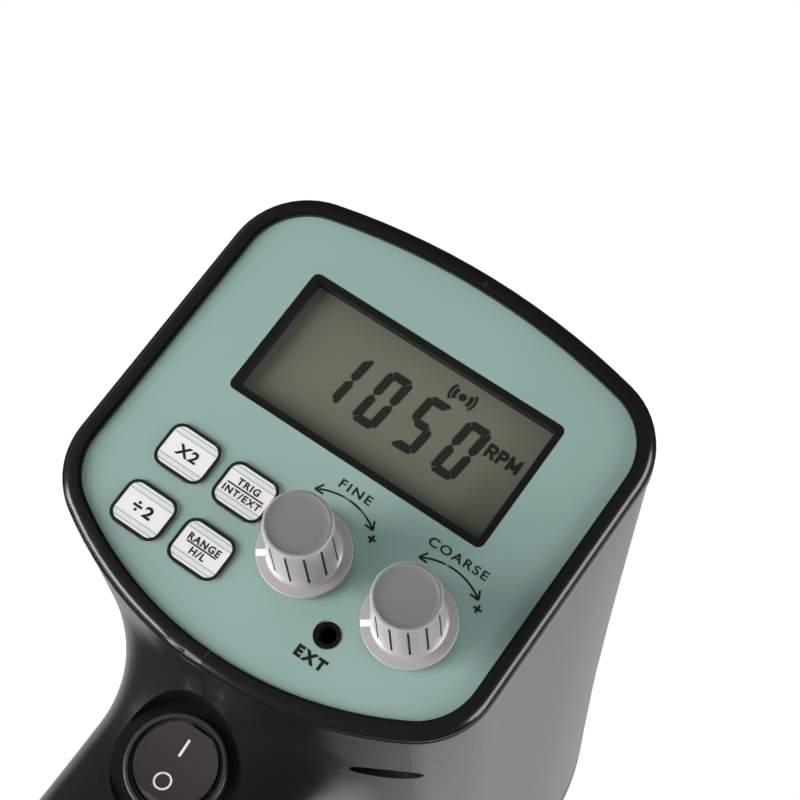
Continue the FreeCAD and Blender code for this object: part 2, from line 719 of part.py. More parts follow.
def lens_retainer():
    """Ring that holds the lens in from the front."""
    outer = LENS_RADIUS + SEAT_CLEARANCE
    return pipe_y(0, AXIS_UP, outer, LENS_RADIUS - RETAINER_WIDTH, LENS_END, LENS_END + RETAINER_LENGTH)


def reflector_station(radius):
    """Station of the reflector's polished side at a radius."""
    vertex = SHOULDER_STATION - REFLECTOR_MOUTH_RADIUS ** 2 / (4 * REFLECTOR_FOCUS)
    return vertex + radius ** 2 / (4 * REFLECTOR_FOCUS)


def reflector():
    """Parabolic reflector with a flange at its mouth."""
    span = REFLECTOR_MOUTH_RADIUS - REFLECTOR_NECK_RADIUS
    polished = []
    back = []
    for index in range(REFLECTOR_POINTS):
        radius = REFLECTOR_NECK_RADIUS + span * index / (REFLECTOR_POINTS - 1)
        point = place(radius, AXIS_UP, reflector_station(radius))
        slope = Vector(2 * REFLECTOR_FOCUS, 0, 0) + Vector(0, radius, 0)
        outward = Vector(slope.y, -slope.x, 0).normalize()
        polished.append(point)
        back.append(point + outward * REFLECTOR_THICKNESS)
    inner = Part.BSplineCurve()
    inner.interpolate(polished)
    outer = Part.BSplineCurve()
    outer.interpolate(back)
    mouth_back = back[-1]
    flange_back = place(FLANGE_RADIUS, AXIS_UP, SHOULDER_STATION)
    flange_front = place(FLANGE_RADIUS, AXIS_UP, FLANGE_END)
    mouth_front = place(REFLECTOR_MOUTH_RADIUS, AXIS_UP, FLANGE_END)
    rim_back = place(mouth_back.x, AXIS_UP, SHOULDER_STATION)
    rim_loop = [mouth_back, rim_back, flange_back, flange_front, mouth_front, polished[-1]]
    edges = [inner.toShape(), outer.toShape(), Part.makeLine(polished[0], back[0])]
    for start, end in zip(rim_loop, rim_loop[1:]):
        edges.append(Part.makeLine(start, end))
    profile = Part.Face(Part.Wire(Part.__sortEdges__(edges)))
    return profile.revolve(place(0, AXIS_UP, 0), Vector(0, 1, 0), 360)


def lamp_carrier():
    """Vented disc across the barrel, with the collar that backs the reflector."""
    collar_bore = REFLECTOR_NECK_RADIUS + REFLECTOR_THICKNESS
    collar_end = reflector_station(collar_bore) - REFLECTOR_THICKNESS - SEAT_CLEARANCE
    disc = rod_y(0, AXIS_UP, CARRIER_RADIUS, CARRIER_STATION, CARRIER_END)
    collar = rod_y(0, AXIS_UP, collar_bore + COLLAR_WALL, CARRIER_STATION, collar_end)
    holes = [
        rod_y(0, AXIS_UP, BASE_RADIUS + LOOSE_CLEARANCE, CARRIER_STATION - OVERRUN, collar_end + OVERRUN),
        rod_y(0, AXIS_UP, collar_bore, CARRIER_END, collar_end + OVERRUN),
    ]
    for index in range(VENT_COUNT):
        angle = math.radians(30 + index * 360 / VENT_COUNT)
        across = VENT_CIRCLE * math.cos(angle)
        up = AXIS_UP + VENT_CIRCLE * math.sin(angle)
        holes.append(rod_y(across, up, VENT_RADIUS, CARRIER_STATION - OVERRUN, CARRIER_END + OVERRUN))
    return disc.fuse(collar).cut(holes)


def tube_base():
    """Ceramic base of the flash tube, flanged behind the carrier."""
    front = CARRIER_STATION - BASE_REAR + BASE_LENGTH
    body = rod_y(0, AXIS_UP, BASE_RADIUS, CARRIER_STATION - BASE_REAR, front)
    flange = rod_y(0, AXIS_UP, BASE_FLANGE_RADIUS, CARRIER_STATION - BASE_FLANGE_THICKNESS, CARRIER_STATION)
    return body.fuse(flange)


def bent_rod(radius, start, bend_start):
    """U-shaped rod: two legs along the barrel and the half turn that joins them."""
    half_pitch = TUBE_LEG_PITCH / 2
    legs = [rod_y(side * half_pitch, AXIS_UP, radius, start, bend_start) for side in (-1, 1)]
    circle = Part.makeCircle(radius, place(half_pitch, AXIS_UP, bend_start), Vector(0, 1, 0))
    section = Part.Face(Part.Wire(circle))
    bend = section.revolve(place(0, AXIS_UP, bend_start), Vector(0, 0, 1), 180)
    return legs[0].fuse([legs[1], bend])


def flash_tube():
    """U-shaped glass of the xenon tube."""
    start = CARRIER_STATION - BASE_REAR + BASE_LENGTH
    bend_start = start + TUBE_LEG_LENGTH
    return bent_rod(TUBE_RADIUS, start, bend_start).cut(bent_rod(TUBE_RADIUS - TUBE_WALL, start, bend_start))


def electrodes():
    """Two electrodes inside the glass and their pins behind the base."""
    front = CARRIER_STATION - BASE_REAR + BASE_LENGTH
    rear = CARRIER_STATION - BASE_REAR
    rods = []
    for side in (-1, 1):
        across = side * TUBE_LEG_PITCH / 2
        rods.append(rod_y(across, AXIS_UP, ELECTRODE_RADIUS, front, front + ELECTRODE_LENGTH))
        rods.append(rod_y(across, AXIS_UP, ELECTRODE_RADIUS, rear - ELECTRODE_TAIL, rear))
    return group(rods)


def trigger_coil():
    """Trigger transformer on the back of the carrier, with two end cheeks."""
    up = AXIS_UP + COIL_OFFSET
    start = CARRIER_STATION - COIL_LENGTH
    cheek = COIL_LENGTH * COIL_CHEEK_SHARE
    wound = rod_y(0, up, COIL_RADIUS * COIL_WOUND_SHARE, start, CARRIER_STATION)
    ends = [
        rod_y(0, up, COIL_RADIUS, start, start + cheek),
        rod_y(0, up, COIL_RADIUS, CARRIER_STATION - cheek, CARRIER_STATION),
    ]
    return fused([wound] + ends)


def key_places():
    """Across and up of each key's middle, by node name."""
    half = KEY_PITCH / 2
    left = KEY_COLUMN - half
    right = KEY_COLUMN + half
    upper = half - KEY_ROW_DROP
    lower = -half - KEY_ROW_DROP
    return {
        "double_key": (left, upper),
        "trigger_key": (right, upper),
        "halve_key": (left, lower),
        "range_key": (right, lower),
    }


def knob_places():
    """Across and up of each speed knob, by node name."""
    return {
        "fine_knob": (FINE_KNOB_ACROSS, -KNOB_DROP),
        "coarse_knob": (COARSE_KNOB_ACROSS, -KNOB_DROP),
    }


def standoff_places():
    """Across and up of the posts that carry the display board."""
    side = BOARD_HALF_WIDTH - STANDOFF_INSET
    high = BOARD_TOP - STANDOFF_INSET
    low = STANDOFF_INSET - BOARD_STEP
    return [(-side, high), (side, high), (-side, low), (side, low), (KEY_COLUMN, -KEY_ROW_DROP)]


def display_bezel_pad(grow, start, end):
    """Solid outline of the display's frame, grown outwards."""
    width = DISPLAY_WIDTH + 2 * (DISPLAY_FRAME + grow)
    height = DISPLAY_HEIGHT + 2 * (DISPLAY_FRAME + grow)
    return pad_y(0, DISPLAY_RISE, width, height, DISPLAY_FRAME_CORNER + grow, start, end)


def panel_film():
    """Coloured film on the panel plate, with its cut-outs."""
    start = -OVERRUN
    end = FILM_THICKNESS + OVERRUN
    cuts = [display_bezel_pad(SEAT_CLEARANCE, start, end)]
    cuts += [key_pad(across, up, KEY_CLEARANCE, start, end) for across, up in key_places().values()]
    for across, up in knob_places().values():
        cuts.append(rod_y(across, up, BUSHING_RADIUS + SEAT_CLEARANCE, start, end))
    cuts.append(rod_y(SOCKET_ACROSS, -SOCKET_DROP, SOCKET_HOLE_RADIUS, start, end))
    return panel_prism(0, 0, FILM_THICKNESS).cut(cuts)


def panel_plate():
    """Moulded plate trapped in the rim, with posts for the display board."""
    plate = panel_prism(PLATE_MARGIN, PLATE_START, PLATE_END)
    posts = [rod_y(x, z, STANDOFF_RADIUS, PLATE_END, BOARD_START) for x, z in standoff_places()]
    start = PLATE_START - OVERRUN
    end = PLATE_END + OVERRUN
    cuts = [display_bezel_pad(SEAT_CLEARANCE, start, end)]
    pocket_floor = KEY_BACK + KEY_TRAVEL + KEY_GAP
    for across, up in key_places().values():
        cuts.append(key_pad(across, up, KEY_FLANGE + KEY_CLEARANCE, start, pocket_floor))
        cuts.append(rod_y(across, up, KEY_STEM_RADIUS + KEY_CLEARANCE, start, end))
    for across, up in knob_places().values():
        cuts.append(rod_y(across, up, BUSHING_RADIUS + SEAT_CLEARANCE, start, end))
    cuts.append(rod_y(SOCKET_ACROSS, -SOCKET_DROP, SOCKET_BUSH_RADIUS + SEAT_CLEARANCE, start, end))
    pilot = BOARD_SCREW_RADIUS + SEAT_CLEARANCE / 2
    for across, up in standoff_places():
        cuts.append(rod_y(across, up, pilot, BOARD_END - BOARD_SCREW_LENGTH - OVERRUN, end + BOARD_GAP))
    return plate.fuse(posts).cut(cuts)


def display_bezel():
    """Black frame round the display window, stepped down to the glass."""
    flange_end = PLATE_END + DISPLAY_FLANGE_THICKNESS
    flange = display_bezel_pad(DISPLAY_FLANGE, PLATE_END, flange_end)
    frame = display_bezel_pad(0, 0, flange_end).fuse(flange)
    corner = DISPLAY_WINDOW_CORNER
    window = pad_y(0, DISPLAY_RISE, DISPLAY_WIDTH, DISPLAY_HEIGHT, corner, -OVERRUN, GLASS_DEPTH + OVERRUN)
    width = DISPLAY_WIDTH + 2 * (GLASS_MARGIN + SEAT_CLEARANCE)
    height = DISPLAY_HEIGHT + 2 * (GLASS_MARGIN + SEAT_CLEARANCE)
    pocket = pad_y(0, DISPLAY_RISE, width, height, corner, GLASS_DEPTH, flange_end + OVERRUN)
    return frame.cut([window, pocket]).removeSplitter()


def display_glass():
    """Liquid-crystal cell behind the window."""
    half_width = DISPLAY_WIDTH / 2 + GLASS_MARGIN
    half_height = DISPLAY_HEIGHT / 2 + GLASS_MARGIN
    low = place(-half_width, DISPLAY_RISE - half_height, GLASS_DEPTH)
    high = place(half_width, DISPLAY_RISE + half_height, GLASS_DEPTH + GLASS_THICKNESS)
    return block(low, high)


def display_connectors():
    """Rubber strips that join the glass to the board, one above and one below."""
    strips = []
    start = GLASS_DEPTH + GLASS_THICKNESS
    for side in (-1, 1):
        up = DISPLAY_RISE + side * (DISPLAY_HEIGHT / 2 - CONNECTOR_WIDTH / 2)
        low = place(-DISPLAY_WIDTH / 2, up - CONNECTOR_WIDTH / 2, start)
        strips.append(block(low, place(DISPLAY_WIDTH / 2, up + CONNECTOR_WIDTH / 2, BOARD_START)))
    return group(strips)


def display_board():
    """Circuit board behind the panel, stepped round the potentiometers."""
    width = BOARD_HALF_WIDTH
    main = block(place(-width, -BOARD_STEP, BOARD_START), place(width, BOARD_TOP, BOARD_END))
    leg_low = place(-BOARD_LEG_OUTER, -BOARD_LEG_DROP, BOARD_START)
    leg = block(leg_low, place(-BOARD_LEG_EDGE, -BOARD_STEP + OVERRUN, BOARD_END))
    radius = BOARD_SCREW_RADIUS + SEAT_CLEARANCE
    start = BOARD_START - OVERRUN
    holes = [rod_y(x, z, radius, start, BOARD_END + OVERRUN) for x, z in standoff_places()]
    return main.fuse(leg).cut(holes).removeSplitter()


def board_screws():
    """Small screws that hold the display board to its posts."""
    screws = []
    for across, up in standoff_places():
        shank = rod_y(across, up, BOARD_SCREW_RADIUS, BOARD_END - BOARD_SCREW_LENGTH, BOARD_END)
        head = rod_y(across, up, BOARD_SCREW_HEAD_RADIUS, BOARD_END, BOARD_END + BOARD_SCREW_HEAD_HEIGHT)
        screws.append(shank.fuse(head))
    return group(screws)


def key_pad(across, up, grow, start, end):
    """Solid outline of a key, grown outwards."""
    return pad_y(across, up, KEY_WIDTH + 2 * grow, KEY_HEIGHT + 2 * grow, KEY_CORNER + grow, start, end)


def key(across, up):
    """Key pad trapped under the film, with the stem that reaches its switch."""
    pad = key_pad(across, up, 0, -KEY_PROUD, KEY_BACK)
    face = [edge for edge in pad.Edges if edge.BoundBox.YMax < PANEL_Y - KEY_PROUD / 2]
    pad = pad.makeFillet(KEY_EDGE_ROUND, face)
    flange = key_pad(across, up, KEY_FLANGE, FILM_THICKNESS + KEY_GAP, KEY_BACK)
    stem_end = PLUNGER_STATION - KEY_TRAVEL - KEY_GAP
    return fused([pad, flange, rod_y(across, up, KEY_STEM_RADIUS, KEY_BACK, stem_end)])


def tactile_switches():
    """Four tactile switches on the display board, under the keys."""
    switches = []
    start = BOARD_START - SWITCH_HEIGHT
    for across, up in key_places().values():
        low = place(across - SWITCH_SIDE / 2, up - SWITCH_SIDE / 2, start)
        body = block(low, place(across + SWITCH_SIDE / 2, up + SWITCH_SIDE / 2, BOARD_START))
        switches.append(body.fuse(rod_y(across, up, PLUNGER_RADIUS, PLUNGER_STATION, start)))
    return group(switches)


def knob_body(across, up):
    """Fluted knob with its skirt, hollow over the nut and bored for the shaft."""
    skirt_back = -SKIRT_GAP
    skirt_face = skirt_back - SKIRT_THICKNESS
    profile = [
        (0, skirt_back),
        (SKIRT_RADIUS, skirt_back),
        (SKIRT_RADIUS, skirt_face),
        (KNOB_FOOT_RADIUS + KNOB_FOOT_FLARE / 3, skirt_face - KNOB_FOOT_FLARE / 3),
        (KNOB_FOOT_RADIUS, skirt_face - KNOB_FOOT_FLARE),
        (KNOB_TOP_RADIUS, KNOB_EDGE - KNOB_TOP),
        (KNOB_TOP_RADIUS - KNOB_EDGE, -KNOB_TOP),
        (0, -KNOB_TOP),
    ]
    body = turned(profile, across, up)
    flute_start = FLUTE_TOP_MARGIN - KNOB_TOP
    flute_end = skirt_face - FLUTE_FOOT_MARGIN
    lean = KNOB_FOOT_RADIUS - KNOB_TOP_RADIUS
    cuts = []
    for index in range(FLUTE_COUNT):
        angle = 2 * math.pi * (index + 0.5) / FLUTE_COUNT
        outward = Vector(math.cos(angle), 0, math.sin(angle))
        top = place(across, up, flute_start) + outward * KNOB_TOP_RADIUS
        foot = place(across, up, flute_end) + outward * (KNOB_TOP_RADIUS + lean)
        run = foot - top
        cuts.append(Part.makeCylinder(FLUTE_RADIUS, run.Length, top, run))
    cuts.append(rod_y(across, up, KNOB_RECESS_RADIUS, skirt_back - KNOB_RECESS_DEPTH, OVERRUN))
    cap_floor = CAP_THICKNESS - KNOB_TOP
    cuts.append(rod_y(across, up, CAP_RADIUS + SEAT_CLEARANCE, -KNOB_TOP - OVERRUN, cap_floor))
    bore = rod_y(across, up, SHAFT_RADIUS + SEAT_CLEARANCE / 2, -SHAFT_REACH - SEAT_CLEARANCE, 0)
    cuts.append(bore.cut(shaft_flat(across, up, SHAFT_RADIUS - SHAFT_FLAT + SEAT_CLEARANCE / 2)))
    return body.cut(cuts)


def shaft_flat(across, up, offset):
    """Block over the flat side of a knob's shaft."""
    flat_end = -BUSHING_PROUD - SHAFT_FLAT
    low = place(across - SHAFT_RADIUS * 2, up + offset, -SHAFT_REACH - OVERRUN)
    return block(low, place(across + SHAFT_RADIUS * 2, up + SHAFT_RADIUS * 2, flat_end))


def knob_cap(across, up):
    """Dished cap pressed into the top of a knob."""
    disc = rod_y(across, up, CAP_RADIUS, -KNOB_TOP, CAP_THICKNESS - KNOB_TOP)
    sphere = (CAP_RADIUS ** 2 + CAP_DISH ** 2) / (2 * CAP_DISH)
    dish = Part.makeSphere(sphere, place(across, up, CAP_DISH - KNOB_TOP - sphere))
    return disc.cut(dish)


def knob_shaft(across, up):
    """Potentiometer shaft, flatted for the knob."""
    shaft = rod_y(across, up, SHAFT_RADIUS, -SHAFT_REACH, PLATE_END + SHAFT_TAIL)
    return shaft.cut(shaft_flat(across, up, SHAFT_RADIUS - SHAFT_FLAT))


def potentiometer(across, up):
    """Potentiometer can and the threaded bushing that comes through the panel."""
    can = rod_y(across, up, POT_RADIUS, PLATE_END, PLATE_END + POT_LENGTH)
    bushing = rod_y(across, up, BUSHING_RADIUS, -BUSHING_PROUD, PLATE_END + OVERRUN)
    bore_end = PLATE_END + SHAFT_TAIL + SHAFT_CLEARANCE
    bore = rod_y(across, up, SHAFT_RADIUS + SHAFT_CLEARANCE, -BUSHING_PROUD - OVERRUN, bore_end)
    return can.fuse(bushing).cut(bore)


def hex_nut(across, up, across_flats, bore, start, end):
    """Hexagonal nut facing the user."""
    corner = across_flats / math.sqrt(3)
    corners = []
    for index in range(7):
        angle = math.radians(60 * index)
        corners.append(place(across + corner * math.cos(angle), up + corner * math.sin(angle), start))
    nut = Part.Face(Part.makePolygon(corners)).extrude(Vector(0, end - start, 0))
    return nut.cut(rod_y(across, up, bore, start - OVERRUN, end + OVERRUN))


def pot_nuts():
    """Nuts that clamp the potentiometers to the panel."""
    nuts = []
    bore = BUSHING_RADIUS + SEAT_CLEARANCE / 2
    for across, up in knob_places().values():
        nuts.append(hex_nut(across, up, NUT_ACROSS_FLATS, bore, -NUT_THICKNESS, 0))
    return group(nuts)


def trigger_socket():
    """Jack socket for the external trigger, with its bush flush in the panel."""
    half = SOCKET_BODY_SIDE / 2
    low = place(SOCKET_ACROSS - half, -SOCKET_DROP - half, PLATE_END)
    body = block(low, place(SOCKET_ACROSS + half, half - SOCKET_DROP, PLATE_END + SOCKET_BODY_LENGTH))
    bush = rod_y(SOCKET_ACROSS, -SOCKET_DROP, SOCKET_BUSH_RADIUS, SOCKET_SUNK, PLATE_END + OVERRUN)
    bore_end = SOCKET_SUNK + SOCKET_BORE_LENGTH
    bore = rod_y(SOCKET_ACROSS, -SOCKET_DROP, SOCKET_BORE_RADIUS, -OVERRUN, bore_end)
    return body.fuse(bush).cut(bore)


def power_switch():
    """Body of the round rocker switch: bezel, sleeve and back."""
    bezel = Part.makeCylinder(BEZEL_RADIUS, BEZEL_PROUD)
    bezel = bezel.makeFillet(BEZEL_ROUND, [edge for edge in bezel.Edges if edge.BoundBox.ZMin > BEZEL_ROUND])
    sleeve = Part.makeCylinder(SLEEVE_RADIUS, SLEEVE_DEPTH, Vector(0, 0, -SLEEVE_DEPTH))
    bore_floor = ROCKER_RADIUS / 2 - SLEEVE_DEPTH
    bore = Part.makeCylinder(SLEEVE_BORE, SLEEVE_DEPTH * 2, Vector(0, 0, bore_floor))
    step = Part.makeCylinder(BEZEL_SLEEVE_RADIUS, BEZEL_PROUD, Vector(0, 0, BEZEL_PROUD / 2))
    pin_reach = SLEEVE_BORE + (SLEEVE_RADIUS - SLEEVE_BORE) / 2
    pin_start = Vector(-pin_reach, 0, 0)
    hole_radius = ROCKER_PIN_RADIUS + SHAFT_CLEARANCE
    pins = Part.makeCylinder(ROCKER_PIN_RADIUS, pin_reach * 2, pin_start, Vector(1, 0, 0))
    pin_holes = Part.makeCylinder(hole_radius, pin_reach * 2, pin_start, Vector(1, 0, 0))
    return on_grip(bezel.fuse(sleeve).cut([bore, step, pin_holes])), pins


def power_rocker(pins):
    """Rocker on its two pins, stored with the upper end pressed in."""
    side = Vector(-ROCKER_RADIUS, 0, 0)
    across = Part.makeCylinder(ROCKER_SWING_RADIUS, ROCKER_RADIUS * 2, side, Vector(1, 0, 0))
    round_plan = Part.makeCylinder(ROCKER_RADIUS, ROCKER_RADIUS * 2, Vector(0, 0, -ROCKER_SKIRT))
    body = across.common(round_plan)
    dish_start = Vector(-ROCKER_RADIUS * 2, 0, ROCKER_HEIGHT + ROCKER_DISH_RADIUS)
    dish = Part.makeCylinder(ROCKER_DISH_RADIUS, ROCKER_RADIUS * 4, dish_start, Vector(1, 0, 0))
    rocker = body.cut(dish).fuse(pins)
    rocker.rotate(Vector(), Vector(1, 0, 0), -ROCKER_PRESSED)
    return on_grip(rocker)


def switch_terminals():
    """Two blade terminals behind the power switch."""
    blades = []
    for side in (-1, 1):
        low = Vector(-TERMINAL_WIDTH / 2, side * TERMINAL_PITCH / 2, -SLEEVE_DEPTH - TERMINAL_LENGTH)
        blades.append(on_grip(Part.makeBox(TERMINAL_WIDTH, TERMINAL_THICKNESS, TERMINAL_LENGTH, low)))
    return group(blades)


def foot_plate():
    """Plate that closes the grip's foot, trapped by its tongue."""
    tongue_low = (FOOT_THICKNESS - FOOT_TONGUE_THICKNESS) / 2
    tongue_inset = WALL - FOOT_TONGUE_REACH
    plate = foot_prism(WALL + SEAT_CLEARANCE, 0, FOOT_THICKNESS)
    tongue = foot_prism(tongue_inset, tongue_low, tongue_low + FOOT_TONGUE_THICKNESS)
    grow = SEAT_CLEARANCE
    cuts = [
        rod_z(0, 0, BUSH_RADIUS + grow, -OVERRUN, FOOT_THICKNESS + OVERRUN),
        inlet_block(INLET_WIDTH + 2 * grow, INLET_DEPTH + 2 * grow, -OVERRUN, FOOT_THICKNESS + OVERRUN),
    ]
    return plate.fuse(tongue).cut(cuts)


def inlet_block(width, depth, low, high):
    """Block about the middle of the mains inlet."""
    rear = INLET_FORWARD - depth / 2
    return block(Vector(-width / 2, rear, low), Vector(width / 2, rear + depth, high))


def tripod_bush():
    """Threaded brass bush for a tripod screw, flanged inside the foot."""
    body = rod_z(0, 0, BUSH_RADIUS, 0, BUSH_LENGTH)
    flange = rod_z(0, 0, BUSH_FLANGE_RADIUS, FOOT_THICKNESS, FOOT_THICKNESS + BUSH_FLANGE_THICKNESS)
    bore = rod_z(0, 0, BUSH_BORE_RADIUS, -OVERRUN, BUSH_LENGTH - BUSH_FLANGE_THICKNESS)
    return body.fuse(flange).cut(bore)


def mains_inlet():
    """Two-pin inlet in the foot, with a figure-of-eight recess."""
    body = inlet_block(INLET_WIDTH, INLET_DEPTH, 0, INLET_HEIGHT)
    flange_top = FOOT_THICKNESS + INLET_FLANGE_THICKNESS
    flange = inlet_block(INLET_WIDTH + 2 * INLET_FLANGE, INLET_DEPTH, FOOT_THICKNESS, flange_top)
    lobe = INLET_RECESS_DEPTH / 2
    shift = INLET_RECESS_WIDTH / 2 - lobe
    lobes = [rod_z(side * shift, INLET_FORWARD, lobe, -OVERRUN, INLET_RECESS_HEIGHT) for side in (-1, 1)]
    waist = inlet_block(shift * 2, INLET_RECESS_DEPTH * INLET_WAIST_SHARE, -OVERRUN, INLET_RECESS_HEIGHT)
    return body.fuse(flange).cut(lobes + [waist])


def inlet_pins():
    """The two pins of the mains inlet."""
    pins = []
    tail_top = INLET_HEIGHT + TERMINAL_LENGTH
    for side in (-1, 1):
        across = side * INLET_PIN_PITCH / 2
        pins.append(rod_z(across, INLET_FORWARD, INLET_PIN_RADIUS, INLET_PIN_SET_BACK, INLET_RECESS_HEIGHT))
        pins.append(rod_z(across, INLET_FORWARD, INLET_PIN_RADIUS, INLET_HEIGHT, tail_top))
    return group(pins)


def power_board():
    """Circuit board along the barrel, held by its edges in the housing's rails."""
    half = POWER_BOARD_HALF_WIDTH
    low = place(-half, POWER_BOARD_UP - BOARD_THICKNESS, POWER_BOARD_START)
    return block(low, place(half, POWER_BOARD_UP, POWER_BOARD_END))


def on_board(across, station, width, depth, height, lift=0):
    """Block standing on the power board about a middle."""
    low = place(across - width / 2, POWER_BOARD_UP + lift, station - depth / 2)
    return block(low, place(across + width / 2, POWER_BOARD_UP + lift + height, station + depth / 2))


def discharge_capacitor():
    """Large capacitor lying along the board."""
    up = POWER_BOARD_UP + CAPACITOR_RADIUS
    start = CAPACITOR_STATION - CAPACITOR_LENGTH / 2
    can = rod_y(CAPACITOR_ACROSS, up, CAPACITOR_RADIUS, start, start + CAPACITOR_LENGTH)
    ends = [edge for edge in can.Edges if edge.Curve.TypeId == "Part::GeomCircle"]
    return can.makeFillet(CLAMP_THICKNESS, ends)


def capacitor_clamp():
    """Saddle that straps the large capacitor to the board."""
    outer = CAPACITOR_RADIUS + CLAMP_THICKNESS
    start = CAPACITOR_STATION - CLAMP_WIDTH / 2
    end = start + CLAMP_WIDTH
    up = POWER_BOARD_UP + CAPACITOR_RADIUS
    arch = rod_y(CAPACITOR_ACROSS, up, outer, start, end)
    sides = on_board(CAPACITOR_ACROSS, CAPACITOR_STATION, 2 * outer, CLAMP_WIDTH, CAPACITOR_RADIUS)
    feet_width = 2 * (outer + CLAMP_FOOT)
    feet = on_board(CAPACITOR_ACROSS, CAPACITOR_STATION, feet_width, CLAMP_WIDTH, CLAMP_THICKNESS)
    below = on_board(CAPACITOR_ACROSS, CAPACITOR_STATION, feet_width, CLAMP_WIDTH, outer, -outer)
    hollow = rod_y(CAPACITOR_ACROSS, up, CAPACITOR_RADIUS, start - OVERRUN, end + OVERRUN)
    throat_width = 2 * CAPACITOR_RADIUS
    throat = on_board(CAPACITOR_ACROSS, CAPACITOR_STATION, throat_width, CLAMP_WIDTH * 2, CAPACITOR_RADIUS)
    return arch.fuse([sides, feet]).cut([below, hollow, throat]).removeSplitter()


def transformer_core():
    """Laminated core with two windows, standing on the board."""
    core = on_board(CORE_ACROSS, CORE_STATION, CORE_STACK, CORE_WIDTH, CORE_HEIGHT)
    window_depth = (CORE_WIDTH - 2 * CORE_LIMB - CORE_STACK / 2) / 2
    shift = (CORE_STACK / 2 + window_depth) / 2
    window_height = CORE_HEIGHT - 2 * CORE_LIMB
    windows = []
    for side in (-1, 1):
        station = CORE_STATION + side * shift
        window = on_board(CORE_ACROSS, station, CORE_STACK * 2, window_depth, window_height, CORE_LIMB)
        windows.append(window)
    return core.cut(windows)


def transformer_winding():
    """Winding round the core's middle limb."""
    height = CORE_HEIGHT - 2 * CORE_LIMB
    depth = CORE_WIDTH - 2 * (CORE_LIMB + WINDING_GAP)
    coil = on_board(CORE_ACROSS, CORE_STATION, CORE_DEPTH, depth, height, CORE_LIMB)
    upright = [edge for edge in coil.Edges if abs(edge.tangentAt(edge.FirstParameter).z) > 0.5]
    coil = coil.makeFillet(CORE_LIMB / 2, upright)
    return coil.cut(on_board(CORE_ACROSS, CORE_STATION, CORE_STACK, CORE_STACK / 2, height, CORE_LIMB))


def pulse_capacitor():
    """Box capacitor of the trigger circuit."""
    width = PULSE_CAP_WIDTH
    return on_board(CORE_ACROSS, PULSE_CAP_STATION, width, PULSE_CAP_DEPTH, PULSE_CAP_HEIGHT)


def regulator():
    """Upright power transistor with its mounting tab."""
    body_height = REGULATOR_HEIGHT * REGULATOR_BODY_SHARE
    thickness = REGULATOR_THICKNESS
    body = on_board(CORE_ACROSS, REGULATOR_STATION, REGULATOR_WIDTH, thickness, body_height)
    tab_station = REGULATOR_STATION - thickness / 2 + CLAMP_THICKNESS / 2
    tab = on_board(CORE_ACROSS, tab_station, REGULATOR_WIDTH, CLAMP_THICKNESS, REGULATOR_HEIGHT)
    return fused([body, tab])


def small_capacitors():
    """Row of small upright capacitors."""
    y = PANEL_Y + SMALL_CAN_STATION
    low = PANEL_Z + POWER_BOARD_UP
    places = [(index - 1) * SMALL_CAN_PITCH for index in range(3)]
    return group([rod_z(across, y, SMALL_CAN_RADIUS, low, low + SMALL_CAN_HEIGHT) for across in places])


def fuse_up():
    """Rise of the fuse's axis above the panel's middle."""
    return POWER_BOARD_UP + FUSE_RADIUS + CLAMP_THICKNESS


def fuse():
    """Cartridge fuse: glass tube with a metal cap at each end."""
    left = CAPACITOR_ACROSS - FUSE_LENGTH / 2
    return rod_x(FUSE_STATION, fuse_up(), FUSE_RADIUS, left, left + FUSE_LENGTH)


def fuse_clips():
    """Two spring clips that hold the fuse by its caps."""
    clips = []
    top = fuse_up() - POWER_BOARD_UP
    width = 2 * (FUSE_RADIUS + CLAMP_THICKNESS)
    for side in (-1, 1):
        across = CAPACITOR_ACROSS + side * (FUSE_LENGTH - FUSE_CAP_LENGTH) / 2
        clip = on_board(across, FUSE_STATION, FUSE_CAP_LENGTH, width, top)
        bore_start = across - FUSE_CAP_LENGTH
        bore = rod_x(FUSE_STATION, fuse_up(), FUSE_RADIUS, bore_start, across + FUSE_CAP_LENGTH)
        clips.append(clip.cut(bore))
    return group(clips)


def pieces():
    """Every node's shape, by name."""
    left, right = housing_halves()
    switch, rocker_pins = power_switch()
    shapes = {
        "housing_left": left,
        "housing_right": right,
        "housing_screws": housing_screws(),
        "front_ring": front_ring(),
        "lens": lens(),
        "lens_gasket": lens_gasket(),
        "lens_retainer": lens_retainer(),
        "reflector": reflector(),
        "lamp_carrier": lamp_carrier(),
        "tube_base": tube_base(),
        "flash_tube": flash_tube(),
        "electrodes": electrodes(),
        "trigger_coil": trigger_coil(),
        "panel_film": panel_film(),
        "panel_plate": panel_plate(),
        "display_bezel": display_bezel(),
        "display_glass": display_glass(),
        "display_connectors": display_connectors(),
        "display_board": display_board(),
        "board_screws": board_screws(),
        "tactile_switches": tactile_switches(),
        "potentiometers": group([potentiometer(*spot) for spot in knob_places().values()]),
        "pot_nuts": pot_nuts(),
        "trigger_socket": trigger_socket(),
        "power_switch": switch,
        "power_rocker": power_rocker(rocker_pins),
        "switch_terminals": switch_terminals(),
        "foot_plate": foot_plate(),
        "tripod_bush": tripod_bush(),
        "mains_inlet": mains_inlet(),
        "inlet_pins": inlet_pins(),
        "power_board": power_board(),
        "discharge_capacitor": discharge_capacitor(),
        "capacitor_clamp": capacitor_clamp(),
        "transformer_core": transformer_core(),
        "transformer_winding": transformer_winding(),
        "pulse_capacitor": pulse_capacitor(),
        "regulator": regulator(),
        "small_capacitors": small_capacitors(),
        "fuse": fuse(),
        "fuse_clips": fuse_clips(),
    }
    for name, spot in key_places().items():
        shapes[name] = key(*spot)
    for name, spot in knob_places().items():
        shapes[name] = knob_body(*spot)
        shapes[name + "_cap"] = knob_cap(*spot)
        shapes[name + "_shaft"] = knob_shaft(*spot)
    return shapes


